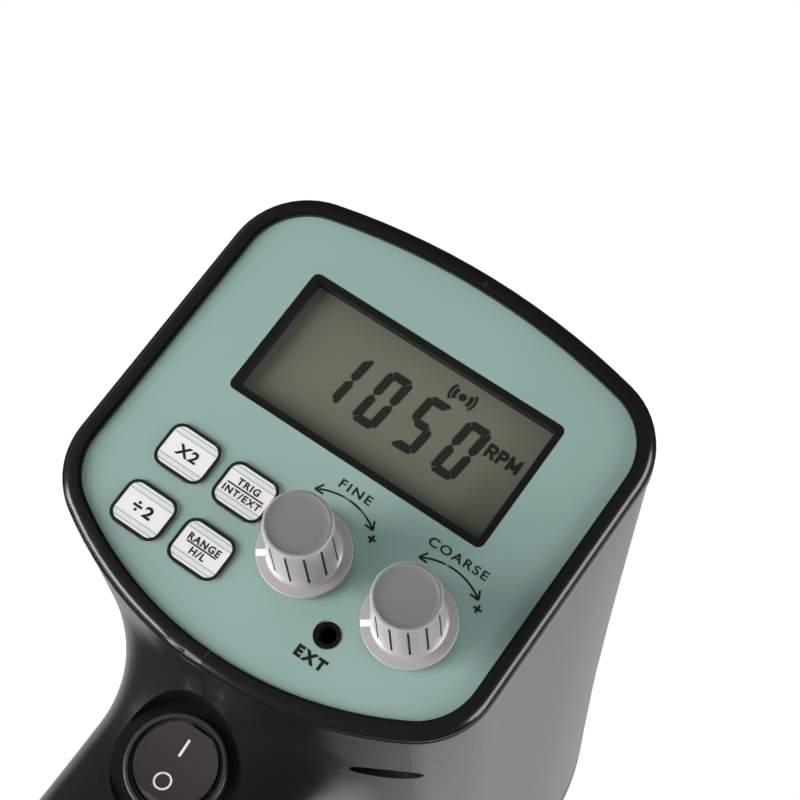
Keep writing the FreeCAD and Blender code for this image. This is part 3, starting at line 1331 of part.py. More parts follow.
os.makedirs("parts", exist_ok=True)
for name, shape in pieces().items():
    shape.exportStep("parts/" + name + ".step")
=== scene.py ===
"""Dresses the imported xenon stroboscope: housing, panel, display, keys, knobs, switch and front end."""

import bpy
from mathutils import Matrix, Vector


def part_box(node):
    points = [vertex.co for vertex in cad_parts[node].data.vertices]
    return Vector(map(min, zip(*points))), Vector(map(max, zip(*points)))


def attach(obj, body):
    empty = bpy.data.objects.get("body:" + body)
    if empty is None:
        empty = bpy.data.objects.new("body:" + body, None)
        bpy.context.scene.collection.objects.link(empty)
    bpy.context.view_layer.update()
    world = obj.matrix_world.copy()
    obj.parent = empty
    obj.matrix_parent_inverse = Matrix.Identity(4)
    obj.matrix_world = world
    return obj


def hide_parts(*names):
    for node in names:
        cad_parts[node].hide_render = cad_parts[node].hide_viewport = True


bl_info = {
    "name": "Xenon stroboscope",
    "version": (1, 0, 0),
    "blender": (4, 5, 0),
    "location": "View3D > Sidebar > Stroboscope",
    "description": "Builds the visible pieces of a hand-held xenon stroboscope",
    "category": "Add Mesh",
}

import math

import bmesh
import bpy
from bpy.props import FloatProperty, FloatVectorProperty, IntProperty, PointerProperty, StringProperty
from mathutils import Matrix, Vector
from mathutils.bvhtree import BVHTree

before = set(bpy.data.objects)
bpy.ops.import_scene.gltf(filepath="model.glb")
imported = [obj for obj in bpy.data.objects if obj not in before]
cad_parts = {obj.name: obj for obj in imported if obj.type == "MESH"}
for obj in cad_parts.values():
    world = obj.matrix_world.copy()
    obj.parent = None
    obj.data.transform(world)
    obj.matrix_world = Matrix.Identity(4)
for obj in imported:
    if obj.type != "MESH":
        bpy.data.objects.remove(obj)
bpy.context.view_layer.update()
MM = 0.001
PANEL_Y = -50.0
PANEL_Z = 154.0
PRINT_DEPTH = 0.03
LETTER_EXTRUDE = 0.01
CAPITAL_HEIGHT = 0.729


# Points, meshes and pieces

def spot(across, up, station):
    """Point in metres, from millimetres across and up from the panel's middle, at a station."""
    return Vector((across, PANEL_Y + station, PANEL_Z + up)) * MM


def new_piece(name, mesh, material, body="body", node=None):
    """Links a mesh as a piece, gives it a material if it has none, and lets it ride on a body."""
    piece = bpy.data.objects.new(name, mesh)
    bpy.context.scene.collection.objects.link(piece)
    if not len(mesh.materials):
        mesh.materials.append(material)
    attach(piece, body)
    if node:
        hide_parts(node)
    return piece


def mesh_of(name, bm, smooth_angle=35.0):
    """Turns a bmesh into a mesh with outward faces, smooth below an angle."""
    bmesh.ops.remove_doubles(bm, verts=bm.verts, dist=1e-6)
    bmesh.ops.recalc_face_normals(bm, faces=bm.faces)
    mesh = bpy.data.meshes.new(name)
    bm.to_mesh(mesh)
    bm.free()
    soften(mesh, smooth_angle)
    return mesh


def soften(mesh, angle):
    """Shades a mesh smooth, with sharp edges above an angle in degrees."""
    mesh.shade_smooth()
    mesh.set_sharp_from_angle(angle=math.radians(angle))


def plain_mesh(owner, name):
    """Plain mesh of an object with its modifiers applied."""
    bpy.context.view_layer.update()
    graph = bpy.context.evaluated_depsgraph_get()
    mesh = bpy.data.meshes.new_from_object(owner.evaluated_get(graph), depsgraph=graph)
    mesh.name = name
    return mesh


def discard(owner):
    """Deletes a working object."""
    bpy.data.objects.remove(owner)


def turned_mesh(name, profile, across, up, steps=96, sides=0, flatness=0.0, flat_from=0.0, turn=0.0):
    """Mesh turned about an axis along the barrel, from (radius, station) points in millimetres.

    With sides given, the part beyond a station is flattened a little between that many edges.
    """
    bm = bmesh.new()
    rings = []
    for radius, station in profile:
        if radius < 1e-6:
            rings.append([bm.verts.new(spot(across, up, station))])
            continue
        ring = []
        for index in range(steps):
            angle = 2 * math.pi * index / steps
            reach = radius
            if sides and station < flat_from:
                half = math.pi / sides
                offset = (angle - turn + half) % (2 * half) - half
                reach *= 1 - flatness * (1 - math.cos(half) / math.cos(offset))
            ring.append(bm.verts.new(spot(across + reach * math.cos(angle), up + reach * math.sin(angle), station)))
        rings.append(ring)
    for first, second in zip(rings, rings[1:]):
        for index in range(steps):
            after = (index + 1) % steps
            corners = [first[index % len(first)], first[after % len(first)]]
            corners += [second[after % len(second)], second[index % len(second)]]
            unique = list(dict.fromkeys(corners))
            if len(unique) > 2:
                bm.faces.new(unique)
    return mesh_of(name, bm)


def slab(bm, outline, near, far, edge=0.0, turns=3):
    """Adds a flat solid from an outline of (across, up) points, between two stations.

    With edge given, the near edge is rounded.
    """
    count = len(outline)
    middle = Vector((sum(p[0] for p in outline) / count, sum(p[1] for p in outline) / count))
    levels = [(far, 0.0)]
    if edge > 0:
        for index in range(turns + 1):
            angle = math.pi / 2 * index / turns
            levels.append((near + edge * (1 - math.sin(angle)), edge * (1 - math.cos(angle))))
    else:
        levels.append((near, 0.0))
    rings = []
    for station, inset in levels:
        ring = []
        for index, point in enumerate(outline):
            ahead = Vector(outline[(index + 1) % count]) - Vector(outline[index - 1])
            inward = Vector((-ahead.y, ahead.x)).normalized()
            if inward.dot(middle - Vector(point)) < 0:
                inward = -inward
            moved = Vector(point) + inward * inset
            ring.append(bm.verts.new(spot(moved.x, moved.y, station)))
        rings.append(ring)
    for first, second in zip(rings, rings[1:]):
        for index in range(count):
            after = (index + 1) % count
            bm.faces.new([first[index], first[after], second[after], second[index]])
    bm.faces.new(rings[0])
    bm.faces.new(rings[-1])


def rounded_box(across, up, width, height, corner, steps=8):
    """Outline of a rectangle with round corners, as (across, up) points."""
    points = []
    for side_x, side_z, start in ((1, 1, 0), (-1, 1, 90), (-1, -1, 180), (1, -1, 270)):
        centre_x = across + side_x * (width / 2 - corner)
        centre_z = up + side_z * (height / 2 - corner)
        for index in range(steps + 1):
            angle = math.radians(start + 90 * index / steps)
            points.append((centre_x + corner * math.cos(angle), centre_z + corner * math.sin(angle)))
    return points


def stroke(bm, points, width, near, far, closed=False):
    """Adds a flat line of a width along (across, up) points."""
    count = len(points)
    left = []
    right = []
    for index, point in enumerate(points):
        before = points[index - 1] if index or closed else point
        after = points[(index + 1) % count] if index + 1 < count or closed else point
        run = (Vector(after) - Vector(before)).normalized()
        side = Vector((-run.y, run.x)) * width / 2
        left.append(Vector(point) + side)
        right.append(Vector(point) - side)
    spans = count if closed else count - 1
    for index in range(spans):
        after = (index + 1) % count
        corners = [left[index], left[after], right[after], right[index]]
        low = [bm.verts.new(spot(p.x, p.y, far)) for p in corners]
        high = [bm.verts.new(spot(p.x, p.y, near)) for p in corners]
        bm.faces.new(low)
        bm.faces.new(high)
        for first in range(4):
            second = (first + 1) % 4
            bm.faces.new([low[first], low[second], high[second], high[first]])


def arc(across, up, radius, start, end, steps=24):
    """Points on an arc, with angles in degrees from straight up towards the right."""
    points = []
    for index in range(steps + 1):
        angle = math.radians(start + (end - start) * index / steps)
        points.append((across + radius * math.sin(angle), up + radius * math.cos(angle)))
    return points


def lettering(text, across, up, height, station, weight, spacing, width):
    """Flat letters on the panel, centred on a point, as a mesh; height is the capitals' height."""
    curve = bpy.data.curves.new(text, "FONT")
    curve.body = text
    curve.align_x = "CENTER"
    curve.align_y = "BOTTOM_BASELINE"
    curve.size = 1.0
    curve.space_character = spacing
    curve.offset = weight
    curve.extrude = LETTER_EXTRUDE
    curve.resolution_u = 4
    owner = bpy.data.objects.new(text, curve)
    bpy.context.scene.collection.objects.link(owner)
    mesh = plain_mesh(owner, text)
    discard(owner)
    reach = [vertex.co.x for vertex in mesh.vertices]
    wide = width / (max(reach) - min(reach))
    middle = (max(reach) + min(reach)) / 2
    for vertex in mesh.vertices:
        x, y, z = vertex.co
        place = spot(across + (x - middle) * wide, up + y * height / CAPITAL_HEIGHT - height / 2, station)
        vertex.co = place + Vector((0, -z / LETTER_EXTRUDE * PRINT_DEPTH * MM, 0))
    return mesh


def joined(name, meshes):
    """One mesh from several."""
    bm = bmesh.new()
    for mesh in meshes:
        bm.from_mesh(mesh)
        bpy.data.meshes.remove(mesh)
    return mesh_of(name, bm)


# Nodes and finishes

BROAD_SCALE = 38.0
GRAIN_DEPTH = 0.00004
COAT_ROUGHNESS = 0.12


def feed(tree, socket, value):
    """Links an output to an input, or sets a plain value on it."""
    if isinstance(value, bpy.types.NodeSocket):
        tree.links.new(value, socket)
    else:
        socket.default_value = value


def add_node(tree, kind, given, **choices):
    """Adds a node with its choices made, and feeds its inputs."""
    node = tree.nodes.new(kind)
    for name, value in choices.items():
        setattr(node, name, value)
    for key, value in given.items():
        feed(tree, node.inputs[key], value)
    return node


def calculate(tree, operation, *numbers):
    """Output of a maths node."""
    return add_node(tree, "ShaderNodeMath", dict(enumerate(numbers)), operation=operation).outputs[0]


def ramp(tree, value, low, high, start=0.0, end=1.0, interpolation="LINEAR"):
    """Output that goes from start to end while a value goes from low to high."""
    given = {"Value": value, "From Min": low, "From Max": high, "To Min": start, "To Max": end}
    return add_node(tree, "ShaderNodeMapRange", given, interpolation_type=interpolation).outputs["Result"]


def mix_colour(tree, share, first, second):
    """Output that mixes two colours."""
    given = {"Factor": share, "A": first, "B": second}
    return add_node(tree, "ShaderNodeMix", given, data_type="RGBA").outputs["Result"]


def finish(name, colour, roughness, metallic=0.0, grain=0.0, grain_scale=900.0, drift=0.06, bump=0.05,
           coat=0.0, specular=0.5, transmission=0.0, blotch=0.0):
    """Procedural material: a colour that drifts a little, a roughness that varies, and fine surface grain."""
    material = bpy.data.materials.new(name)
    material.use_nodes = True
    tree = material.node_tree
    shader = tree.nodes["Principled BSDF"]
    even = {"Metallic": metallic, "Coat Weight": coat, "Coat Roughness": COAT_ROUGHNESS,
            "Specular IOR Level": specular, "Transmission Weight": transmission}
    for key, value in even.items():
        shader.inputs[key].default_value = value
    place = tree.nodes.new("ShaderNodeTexCoord").outputs["Object"]
    broad = add_node(tree, "ShaderNodeTexNoise", {"Vector": place, "Scale": BROAD_SCALE, "Detail": 5.0})
    fine = add_node(tree, "ShaderNodeTexNoise", {"Vector": place, "Scale": grain_scale, "Detail": 3.0})
    dark = [c * (1 - drift - blotch) for c in colour] + [1.0]
    light = [min(1.0, c * (1 + drift)) for c in colour] + [1.0]
    feed(tree, shader.inputs["Base Color"], mix_colour(tree, broad.outputs["Fac"], dark, light))
    smoothest = max(0.02, roughness - 0.01 - grain / 2)
    roughest = min(1.0, roughness + 0.01 + grain)
    feed(tree, shader.inputs["Roughness"], ramp(tree, fine.outputs["Fac"], 0.3, 0.7, smoothest, roughest))
    given = {"Strength": bump, "Distance": GRAIN_DEPTH, "Height": fine.outputs["Fac"]}
    feed(tree, shader.inputs["Normal"], add_node(tree, "ShaderNodeBump", given).outputs["Normal"])
    return material


def dress(node, material):
    """Gives a CAD node its finish."""
    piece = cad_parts[node]
    piece.data.materials.clear()
    piece.data.materials.append(material)


def settings():
    """The sizes and colours that the panel in the sidebar shows."""
    return bpy.context.scene.stroboscope


# Sizes and colours

class StroboscopeSettings(bpy.types.PropertyGroup):
    """Sizes, in millimetres, and colours of the visible pieces."""

    housing_colour: FloatVectorProperty(name="Housing", description="Colour of the black mouldings",
                                        subtype="COLOR", default=(0.0095, 0.0095, 0.0100), min=0, max=1)
    film_colour: FloatVectorProperty(name="Film", description="Colour of the panel film",
                                     subtype="COLOR", default=(0.272, 0.412, 0.371), min=0, max=1)
    mark_colour: FloatVectorProperty(name="Marks", description="Colour of the printed marks",
                                     subtype="COLOR", default=(0.012, 0.014, 0.014), min=0, max=1)
    cell_colour: FloatVectorProperty(name="Display", description="Colour of the liquid-crystal cell",
                                     subtype="COLOR", default=(0.135, 0.158, 0.116), min=0, max=1)
    digit_colour: FloatVectorProperty(name="Digits", description="Colour of the display's segments",
                                      subtype="COLOR", default=(0.018, 0.022, 0.019), min=0, max=1)
    key_colour: FloatVectorProperty(name="Keys", description="Colour of the key tops",
                                    subtype="COLOR", default=(0.80, 0.82, 0.81), min=0, max=1)
    stripe_colour: FloatVectorProperty(name="Key stripes", description="Colour of the stripes on the keys",
                                       subtype="COLOR", default=(0.42, 0.47, 0.455), min=0, max=1)
    knob_colour: FloatVectorProperty(name="Knobs", description="Colour of the pearly knobs",
                                     subtype="COLOR", default=(0.44, 0.43, 0.42), min=0, max=1)
    cap_colour: FloatVectorProperty(name="Knob caps", description="Colour of the knob caps",
                                    subtype="COLOR", default=(0.188, 0.195, 0.182), min=0, max=1)
    reading: StringProperty(name="Reading", description="Digits on the display", default="1050")
    digit_height: FloatProperty(name="Digit height", description="Height of a digit, in millimetres",
                                default=14.2, min=4.0, max=20.0)
    digit_width: FloatProperty(name="Digit width", description="Width of a digit, in millimetres",
                               default=6.15, min=2.0, max=12.0)
    digit_pitch: FloatProperty(name="Digit pitch", description="Distance between digits, in millimetres",
                               default=10.12, min=3.0, max=16.0)
    digit_stroke: FloatProperty(name="Digit stroke", description="Width of a segment, in millimetres",
                                default=1.95, min=0.3, max=3.0)
    digit_corner: FloatProperty(name="Digit corner", description="Cut at a digit's corners, in millimetres",
                                default=1.25, min=0.0, max=2.0)
    digit_lean: FloatProperty(name="Digit lean", description="Lean of the digits, in degrees",
                              default=5.5, min=0.0, max=20.0)
    flutes: IntProperty(name="Flutes", description="Flutes round each knob", default=12, min=3, max=40)
    flute_width: FloatProperty(name="Flute width", description="Width of a slit in a knob, in millimetres",
                               default=0.5, min=0.1, max=2.0)
    flute_depth: FloatProperty(name="Flute depth", description="Depth of a slit in a knob, in millimetres",
                               default=0.65, min=0.1, max=1.5)
    seam_width: FloatProperty(name="Seam width", description="Width of the seam groove, in millimetres",
                              default=0.3, min=0.05, max=1.0)
    floor_colour: FloatVectorProperty(name="Floor", description="Colour of the pale floor",
                                      subtype="COLOR", default=(0.80, 0.80, 0.80), min=0, max=1)


# Panel film and its marks

KEY_PLACES = {"double": (-29.75, -21.25), "trigger": (-14.65, -21.25), "halve": (-29.75, -36.35),
              "range": (-14.65, -36.35)}
KNOB_PLACES = {"fine": (3.2, -24.8), "coarse": (29.5, -24.8)}
SOCKET_PLACE = (17.5, -36.1)
MARK_FACE = -0.02
MARK_BACK = 0.05
STAGGER = 0.006
ARC_SHIFT = (0.6, 0.45)
ARC_RADIUS = 14.0
ARC_ENDS = (-30.5, 35.5)
ARC_WIDTH = 0.44
ARROW_LENGTH = 2.1
ARROW_WIDTH = 0.46
PLUS_SHIFT = (9.6, 10.2)
PLUS_REACH = 0.95
PLUS_WIDTH = 0.55


def arrow_arc(bm, across, up):
    """Adds the double-headed arc round a knob."""
    points = arc(across + ARC_SHIFT[0], up + ARC_SHIFT[1], ARC_RADIUS, *ARC_ENDS)
    stroke(bm, points, ARC_WIDTH, MARK_FACE, MARK_BACK)
    for tip, before in ((points[0], points[1]), (points[-1], points[-2])):
        back = (Vector(before) - Vector(tip)).normalized()
        for step, turn in enumerate((-30, 30), 1):
            leg = Matrix.Rotation(math.radians(turn), 2) @ back * ARROW_LENGTH
            stroke(bm, [tip, tuple(Vector(tip) + leg)], ARROW_WIDTH, MARK_FACE - STAGGER * step, MARK_BACK)


def printed_marks():
    """Meshes of the words, arrows and signs printed on the film."""
    bm = bmesh.new()
    for across, up in KNOB_PLACES.values():
        arrow_arc(bm, across, up)
        x, z = across + PLUS_SHIFT[0], up + PLUS_SHIFT[1]
        level = [(x - PLUS_REACH, z), (x + PLUS_REACH, z)]
        upright = [(x, z - PLUS_REACH), (x, z + PLUS_REACH)]
        stroke(bm, level, PLUS_WIDTH, MARK_FACE, MARK_BACK)
        stroke(bm, upright, PLUS_WIDTH, MARK_FACE - STAGGER, MARK_BACK)
    signs = mesh_of("signs", bm)
    words = [
        lettering("FINE", 4.2, -8.05, 2.05, 0, 0.018, 1.25, 7.9),
        lettering("COARSE", 29.9, -7.85, 2.05, 0, 0.018, 1.2, 14.4),
        lettering("EXT", 17.3, -42.0, 2.4, 0, 0.058, 1.35, 7.3),
    ]
    return [signs] + words


class STROBOSCOPE_OT_film(bpy.types.Operator):
    """Make the teal film with its openings, and the marks printed on it"""

    bl_idname = "stroboscope.film"
    bl_label = "Panel film"

    def execute(self, context):
        values = settings()
        film = finish("teal film", values.film_colour, 0.36, grain=0.06, grain_scale=1500, drift=0.05)
        dress("panel_film", film)
        ink = finish("black ink", values.mark_colour, 0.42, grain_scale=2200, bump=0.02)
        marks = joined("panel_marks", printed_marks())
        new_piece("panel_marks", marks, ink)
        return {"FINISHED"}


# Display

SEGMENTS = {"0": "abcdef", "1": "bc", "2": "abged", "3": "abgcd", "4": "fgbc", "5": "afgcd",
            "6": "afgedc", "7": "abc", "8": "abcdefg", "9": "abcdfg"}
CELL_STATION = (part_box("display_glass")[0][1] / MM) - PANEL_Y
CELL_FACE = CELL_STATION - 0.07
DIGIT_RISE = 12.61
FIRST_DIGIT = -14.1
SEAL_INSET = 0.8
SEAL_WIDTH = 1.15
UNIT_START = 20.5
UNIT_BASE = 14.4
UNIT_HEIGHT = 3.3
UNIT_STROKE = 0.74
UNIT_LETTERS = (("R", 0.0, 2.45), ("P", 2.8, 2.25), ("M", 5.4, 2.85))
SEGMENT_GAP = 0.09
SYMBOL_BACK = CELL_STATION + 0.02
FLASH_PLACE = (9.7, 22.75)
FLASH_DOT = 0.9
FLASH_ARCS = ((1.95, 0.85), (3.0, 0.55))
FLASH_SPREAD = 38


def segment_outlines(values):
    """Outlines of the seven segments of one digit, about its middle, in millimetres."""
    high = values.digit_height / 2
    wide = values.digit_width / 2
    band = values.digit_stroke
    cut = values.digit_corner
    gap = SEGMENT_GAP
    waist_half = band / 2
    level = [(-wide + cut, high), (wide - cut, high), (wide - cut / 2 - gap, high - cut / 2 + gap),
             (wide - band * 0.9 - gap, high - band), (-wide + band * 0.9 + gap, high - band),
             (-wide + cut / 2 + gap, high - cut / 2 + gap)]
    side = [(wide - cut / 2 + gap, high - cut / 2 - gap), (wide, high - cut), (wide, cut * 0.75 + gap),
            (wide - cut * 0.45, gap), (wide - band / 2, gap), (wide - band, waist_half * 0.8 + gap),
            (wide - band, high - band - gap)]
    waist = [(-wide + band / 2 + gap * 2, 0), (-wide + band + gap, waist_half), (wide - band - gap, waist_half),
             (wide - band / 2 - gap * 2, 0), (wide - band - gap, -waist_half), (-wide + band + gap, -waist_half)]
    return {
        "a": level,
        "d": [(x, -z) for x, z in level],
        "b": side,
        "c": [(x, -z) for x, z in side],
        "f": [(-x, z) for x, z in side],
        "e": [(-x, -z) for x, z in side],
        "g": waist,
    }


def unit_letters(bm):
    """Adds the letters of the unit, revolutions per minute, drawn as strokes."""
    low = UNIT_BASE + UNIT_STROKE / 2
    high = UNIT_BASE + UNIT_HEIGHT - UNIT_STROKE / 2
    waist = low + (high - low) * 0.46
    for letter, start, width in UNIT_LETTERS:
        left = UNIT_START + start + UNIT_STROKE / 2
        right = left + width - UNIT_STROKE
        lines = [[(left, low - UNIT_STROKE / 2), (left, high + UNIT_STROKE / 2)]]
        if letter == "M":
            middle = (left + right) / 2
            lines.append([(right, low - UNIT_STROKE / 2), (right, high + UNIT_STROKE / 2)])
            lines.append([(left, high), (middle, low + 0.3)])
            lines.append([(right, high), (middle, low + 0.3)])
        else:
            bowl = (high - waist) / 2
            turn = arc(right - bowl, high - bowl, bowl, 0, 180, 8)
            lines.append([(left, high)] + turn + [(left, waist)])
        if letter == "R":
            lines.append([(left + (right - left) * 0.55, waist), (right + 0.05, low - UNIT_STROKE / 2)])
        for step, line in enumerate(lines):
            stroke(bm, line, UNIT_STROKE, CELL_FACE - STAGGER * step, SYMBOL_BACK)


def display_symbols():
    """Mesh of the digits, the flash sign and the unit on the display."""
    values = settings()
    outlines = segment_outlines(values)
    bm = bmesh.new()
    lean = math.tan(math.radians(values.digit_lean))
    for index, digit in enumerate(values.reading):
        across = FIRST_DIGIT + index * values.digit_pitch
        for name in SEGMENTS[digit]:
            points = [(across + x + z * lean, DIGIT_RISE + z) for x, z in outlines[name]]
            slab(bm, points, CELL_FACE, SYMBOL_BACK)
    for side in (-1, 1):
        for radius, width in FLASH_ARCS:
            points = arc(*FLASH_PLACE, radius, 90 * side - FLASH_SPREAD, 90 * side + FLASH_SPREAD, 12)
            stroke(bm, points, width, CELL_FACE, SYMBOL_BACK)
    slab(bm, arc(*FLASH_PLACE, FLASH_DOT, 0, 345, 23), CELL_FACE, SYMBOL_BACK)
    unit_letters(bm)
    return mesh_of("display_symbols", bm)


class STROBOSCOPE_OT_display(bpy.types.Operator):
    """Make the display: its black frame, the cell behind it and the reading"""

    bl_idname = "stroboscope.display"
    bl_label = "Display"

    def execute(self, context):
        values = settings()
        surround = finish("display frame", (0.009, 0.009, 0.009), 0.40, grain=0.02, bump=0.0, specular=0.35)
        dress("display_bezel", surround)
        cell = finish("liquid crystal", values.cell_colour, 0.20, drift=0.10, grain_scale=300, bump=0.0)
        dress("display_glass", cell)
        segments = finish("segments", values.digit_colour, 0.50, bump=0.0, specular=0.2)
        new_piece("display_symbols", display_symbols(), segments)
        low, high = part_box("display_glass")
        across = low[0] / MM + SEAL_INSET + SEAL_WIDTH / 2
        strip = bmesh.new()
        ends = [(across, low[2] / MM - PANEL_Z), (across, high[2] / MM - PANEL_Z)]
        stroke(strip, ends, SEAL_WIDTH, CELL_FACE + 0.03, SYMBOL_BACK)
        seal = finish("cell seal", (0.150, 0.145, 0.130), 0.45, drift=0.08, bump=0.02)
        new_piece("display_seal", mesh_of("display_seal", strip), seal)
        return {"FINISHED"}


# Keys

KEY_LABELS = {
    "double": [("X2", 0, 0, 2.5, 5.3)],
    "halve": [("2", 1.3, 0, 2.6, 2.1)],
    "trigger": [("TRIG", 0, 1.3, 1.55, 5.6), ("INT/EXT", 0, -1.35, 1.55, 9.5)],
    "range": [("RANGE", 0, 1.15, 1.6, 8.0), ("H/L", 0, -1.3, 1.6, 3.8)],
}
KEY_RULES = {"trigger": 9.2, "range": 7.6}
KEY_FACE = -0.5
KEY_BORDER = (11.9, 9.9, 2.5)
KEY_BORDER_WIDTH = 0.72
KEY_INK = (KEY_FACE - 0.03, KEY_FACE + 0.02)
KEY_LINES = ((2.75, 5.75), (3.95, 5.55))
KEY_LINE_WIDTH = 0.27
KEY_BAND = (3.35, 5.7)
KEY_BAND_WIDTH = 0.95
KEY_RULE_WIDTH = 0.34
DIVIDE_SHIFT = -1.55
DIVIDE_REACH = 1.1
DIVIDE_WIDTH = 0.56
DIVIDE_DOT = (0.88, 0.36)


def level_line(across, up, half):
    """Ends of a level line about a point."""
    return [(across - half, up), (across + half, up)]


class STROBOSCOPE_OT_keys(bpy.types.Operator):
    """Make the stripes and the words on the four keys"""

    bl_idname = "stroboscope.keys"
    bl_label = "Keys"

    def execute(self, context):
        values = settings()
        plastic = finish("key top", values.key_colour, 0.38, grain=0.05, grain_scale=1800, bump=0.04)
        ink = finish("key ink", values.mark_colour, 0.45, bump=0.02)
        shade = finish("key stripe", values.stripe_colour, 0.42, bump=0.02)
        tint = finish("key tint", [min(1.0, c * 1.6) for c in values.stripe_colour], 0.42, bump=0.02)
        for name, (across, up) in KEY_PLACES.items():
            body = name + "_key_body"
            dress(name + "_key", plastic)
            border = bmesh.new()
            edge = rounded_box(across, up, *KEY_BORDER)
            stroke(border, edge, KEY_BORDER_WIDTH, KEY_FACE - 0.03, KEY_FACE + 0.42, closed=True)
            new_piece(name + "_key_border", mesh_of("border", border), ink, body)
            lines = bmesh.new()
            bands = bmesh.new()
            for side in (-1, 1):
                for offset, half in KEY_LINES:
                    ends = level_line(across, up + side * offset, half)
                    stroke(lines, ends, KEY_LINE_WIDTH, KEY_FACE - 0.02, KEY_FACE + 0.02)
                ends = level_line(across, up + side * KEY_BAND[0], KEY_BAND[1])
                stroke(bands, ends, KEY_BAND_WIDTH, KEY_FACE - 0.01, KEY_FACE + 0.02)
            new_piece(name + "_key_lines", mesh_of("lines", lines), shade, body)
            new_piece(name + "_key_bands", mesh_of("bands", bands), tint, body)
            words = []
            for text, right, rise, height, width in KEY_LABELS[name]:
                words.append(lettering(text, across + right, up + rise, height, KEY_FACE, 0.034, 1.2, width))
            if name in KEY_RULES:
                rule = bmesh.new()
                stroke(rule, level_line(across, up - 0.05, KEY_RULES[name] / 2), KEY_RULE_WIDTH, *KEY_INK)
                words.append(mesh_of("rule", rule))
            if name == "halve":
                sign = bmesh.new()
                middle = across + DIVIDE_SHIFT
                stroke(sign, level_line(middle, up, DIVIDE_REACH), DIVIDE_WIDTH, *KEY_INK)
                for side in (-1, 1):
                    slab(sign, arc(middle, up + side * DIVIDE_DOT[0], DIVIDE_DOT[1], 0, 330, 11), *KEY_INK)
                words.append(mesh_of("divide sign", sign))
            new_piece(name + "_key_words", joined(name + "_key_words", words), ink, body)
        return {"FINISHED"}


# Knobs

KNOB_TURNS = {"fine": 0.0, "coarse": 8.5}
POINTER_MIDDLE = 8.42
POINTER_WAY = (-0.791, -0.611)
POINTER_SIZE = (3.05, 1.5, 0.15)
POINTER_STATIONS = (-1.95, -1.4)
FACET_FLATNESS = 0.5
FACET_START = -2.6
FLUTE_CIRCLE = 7.41
FLUTE_LENGTH = 14.7
FLUTE_STATION = -10.25
FLUTE_LEAN = -0.66
CAP_PROFILE = [(0.0, -18.5), (4.4, -18.53), (5.8, -18.58), (6.15, -18.68), (6.38, -18.84), (6.56, -18.86),
               (6.7, -18.76), (6.74, -18.6), (6.3, -18.5), (6.3, -17.1)]


def knob_profile():
    """Turned profile of a knob with its skirt, in millimetres from the panel."""
    recess = [(0.0, -4.6), (6.2, -4.6), (6.2, -0.4)]
    skirt = recess + [(9.85, -0.4), (10.0, -0.55), (10.0, -1.4), (9.9, -1.55), (9.7, -1.6), (8.3, -1.62)]
    foot = [(7.9, -1.75), (7.62, -2.05), (7.5, -2.5), (7.48, -3.0)]
    head = [(7.32, -16.9), (7.3, -18.0), (7.24, -18.3), (7.08, -18.52), (6.8, -18.6), (6.4, -18.55), (6.4, -17.1),
            (0.0, -17.1)]
    return skirt + foot + head


def node_input(tree, kind, name, value=None):
    """Adds a named input to a geometry tree."""
    socket = tree.interface.new_socket(name=name, in_out="INPUT", socket_type=kind)
    if value is not None:
        socket.default_value = value


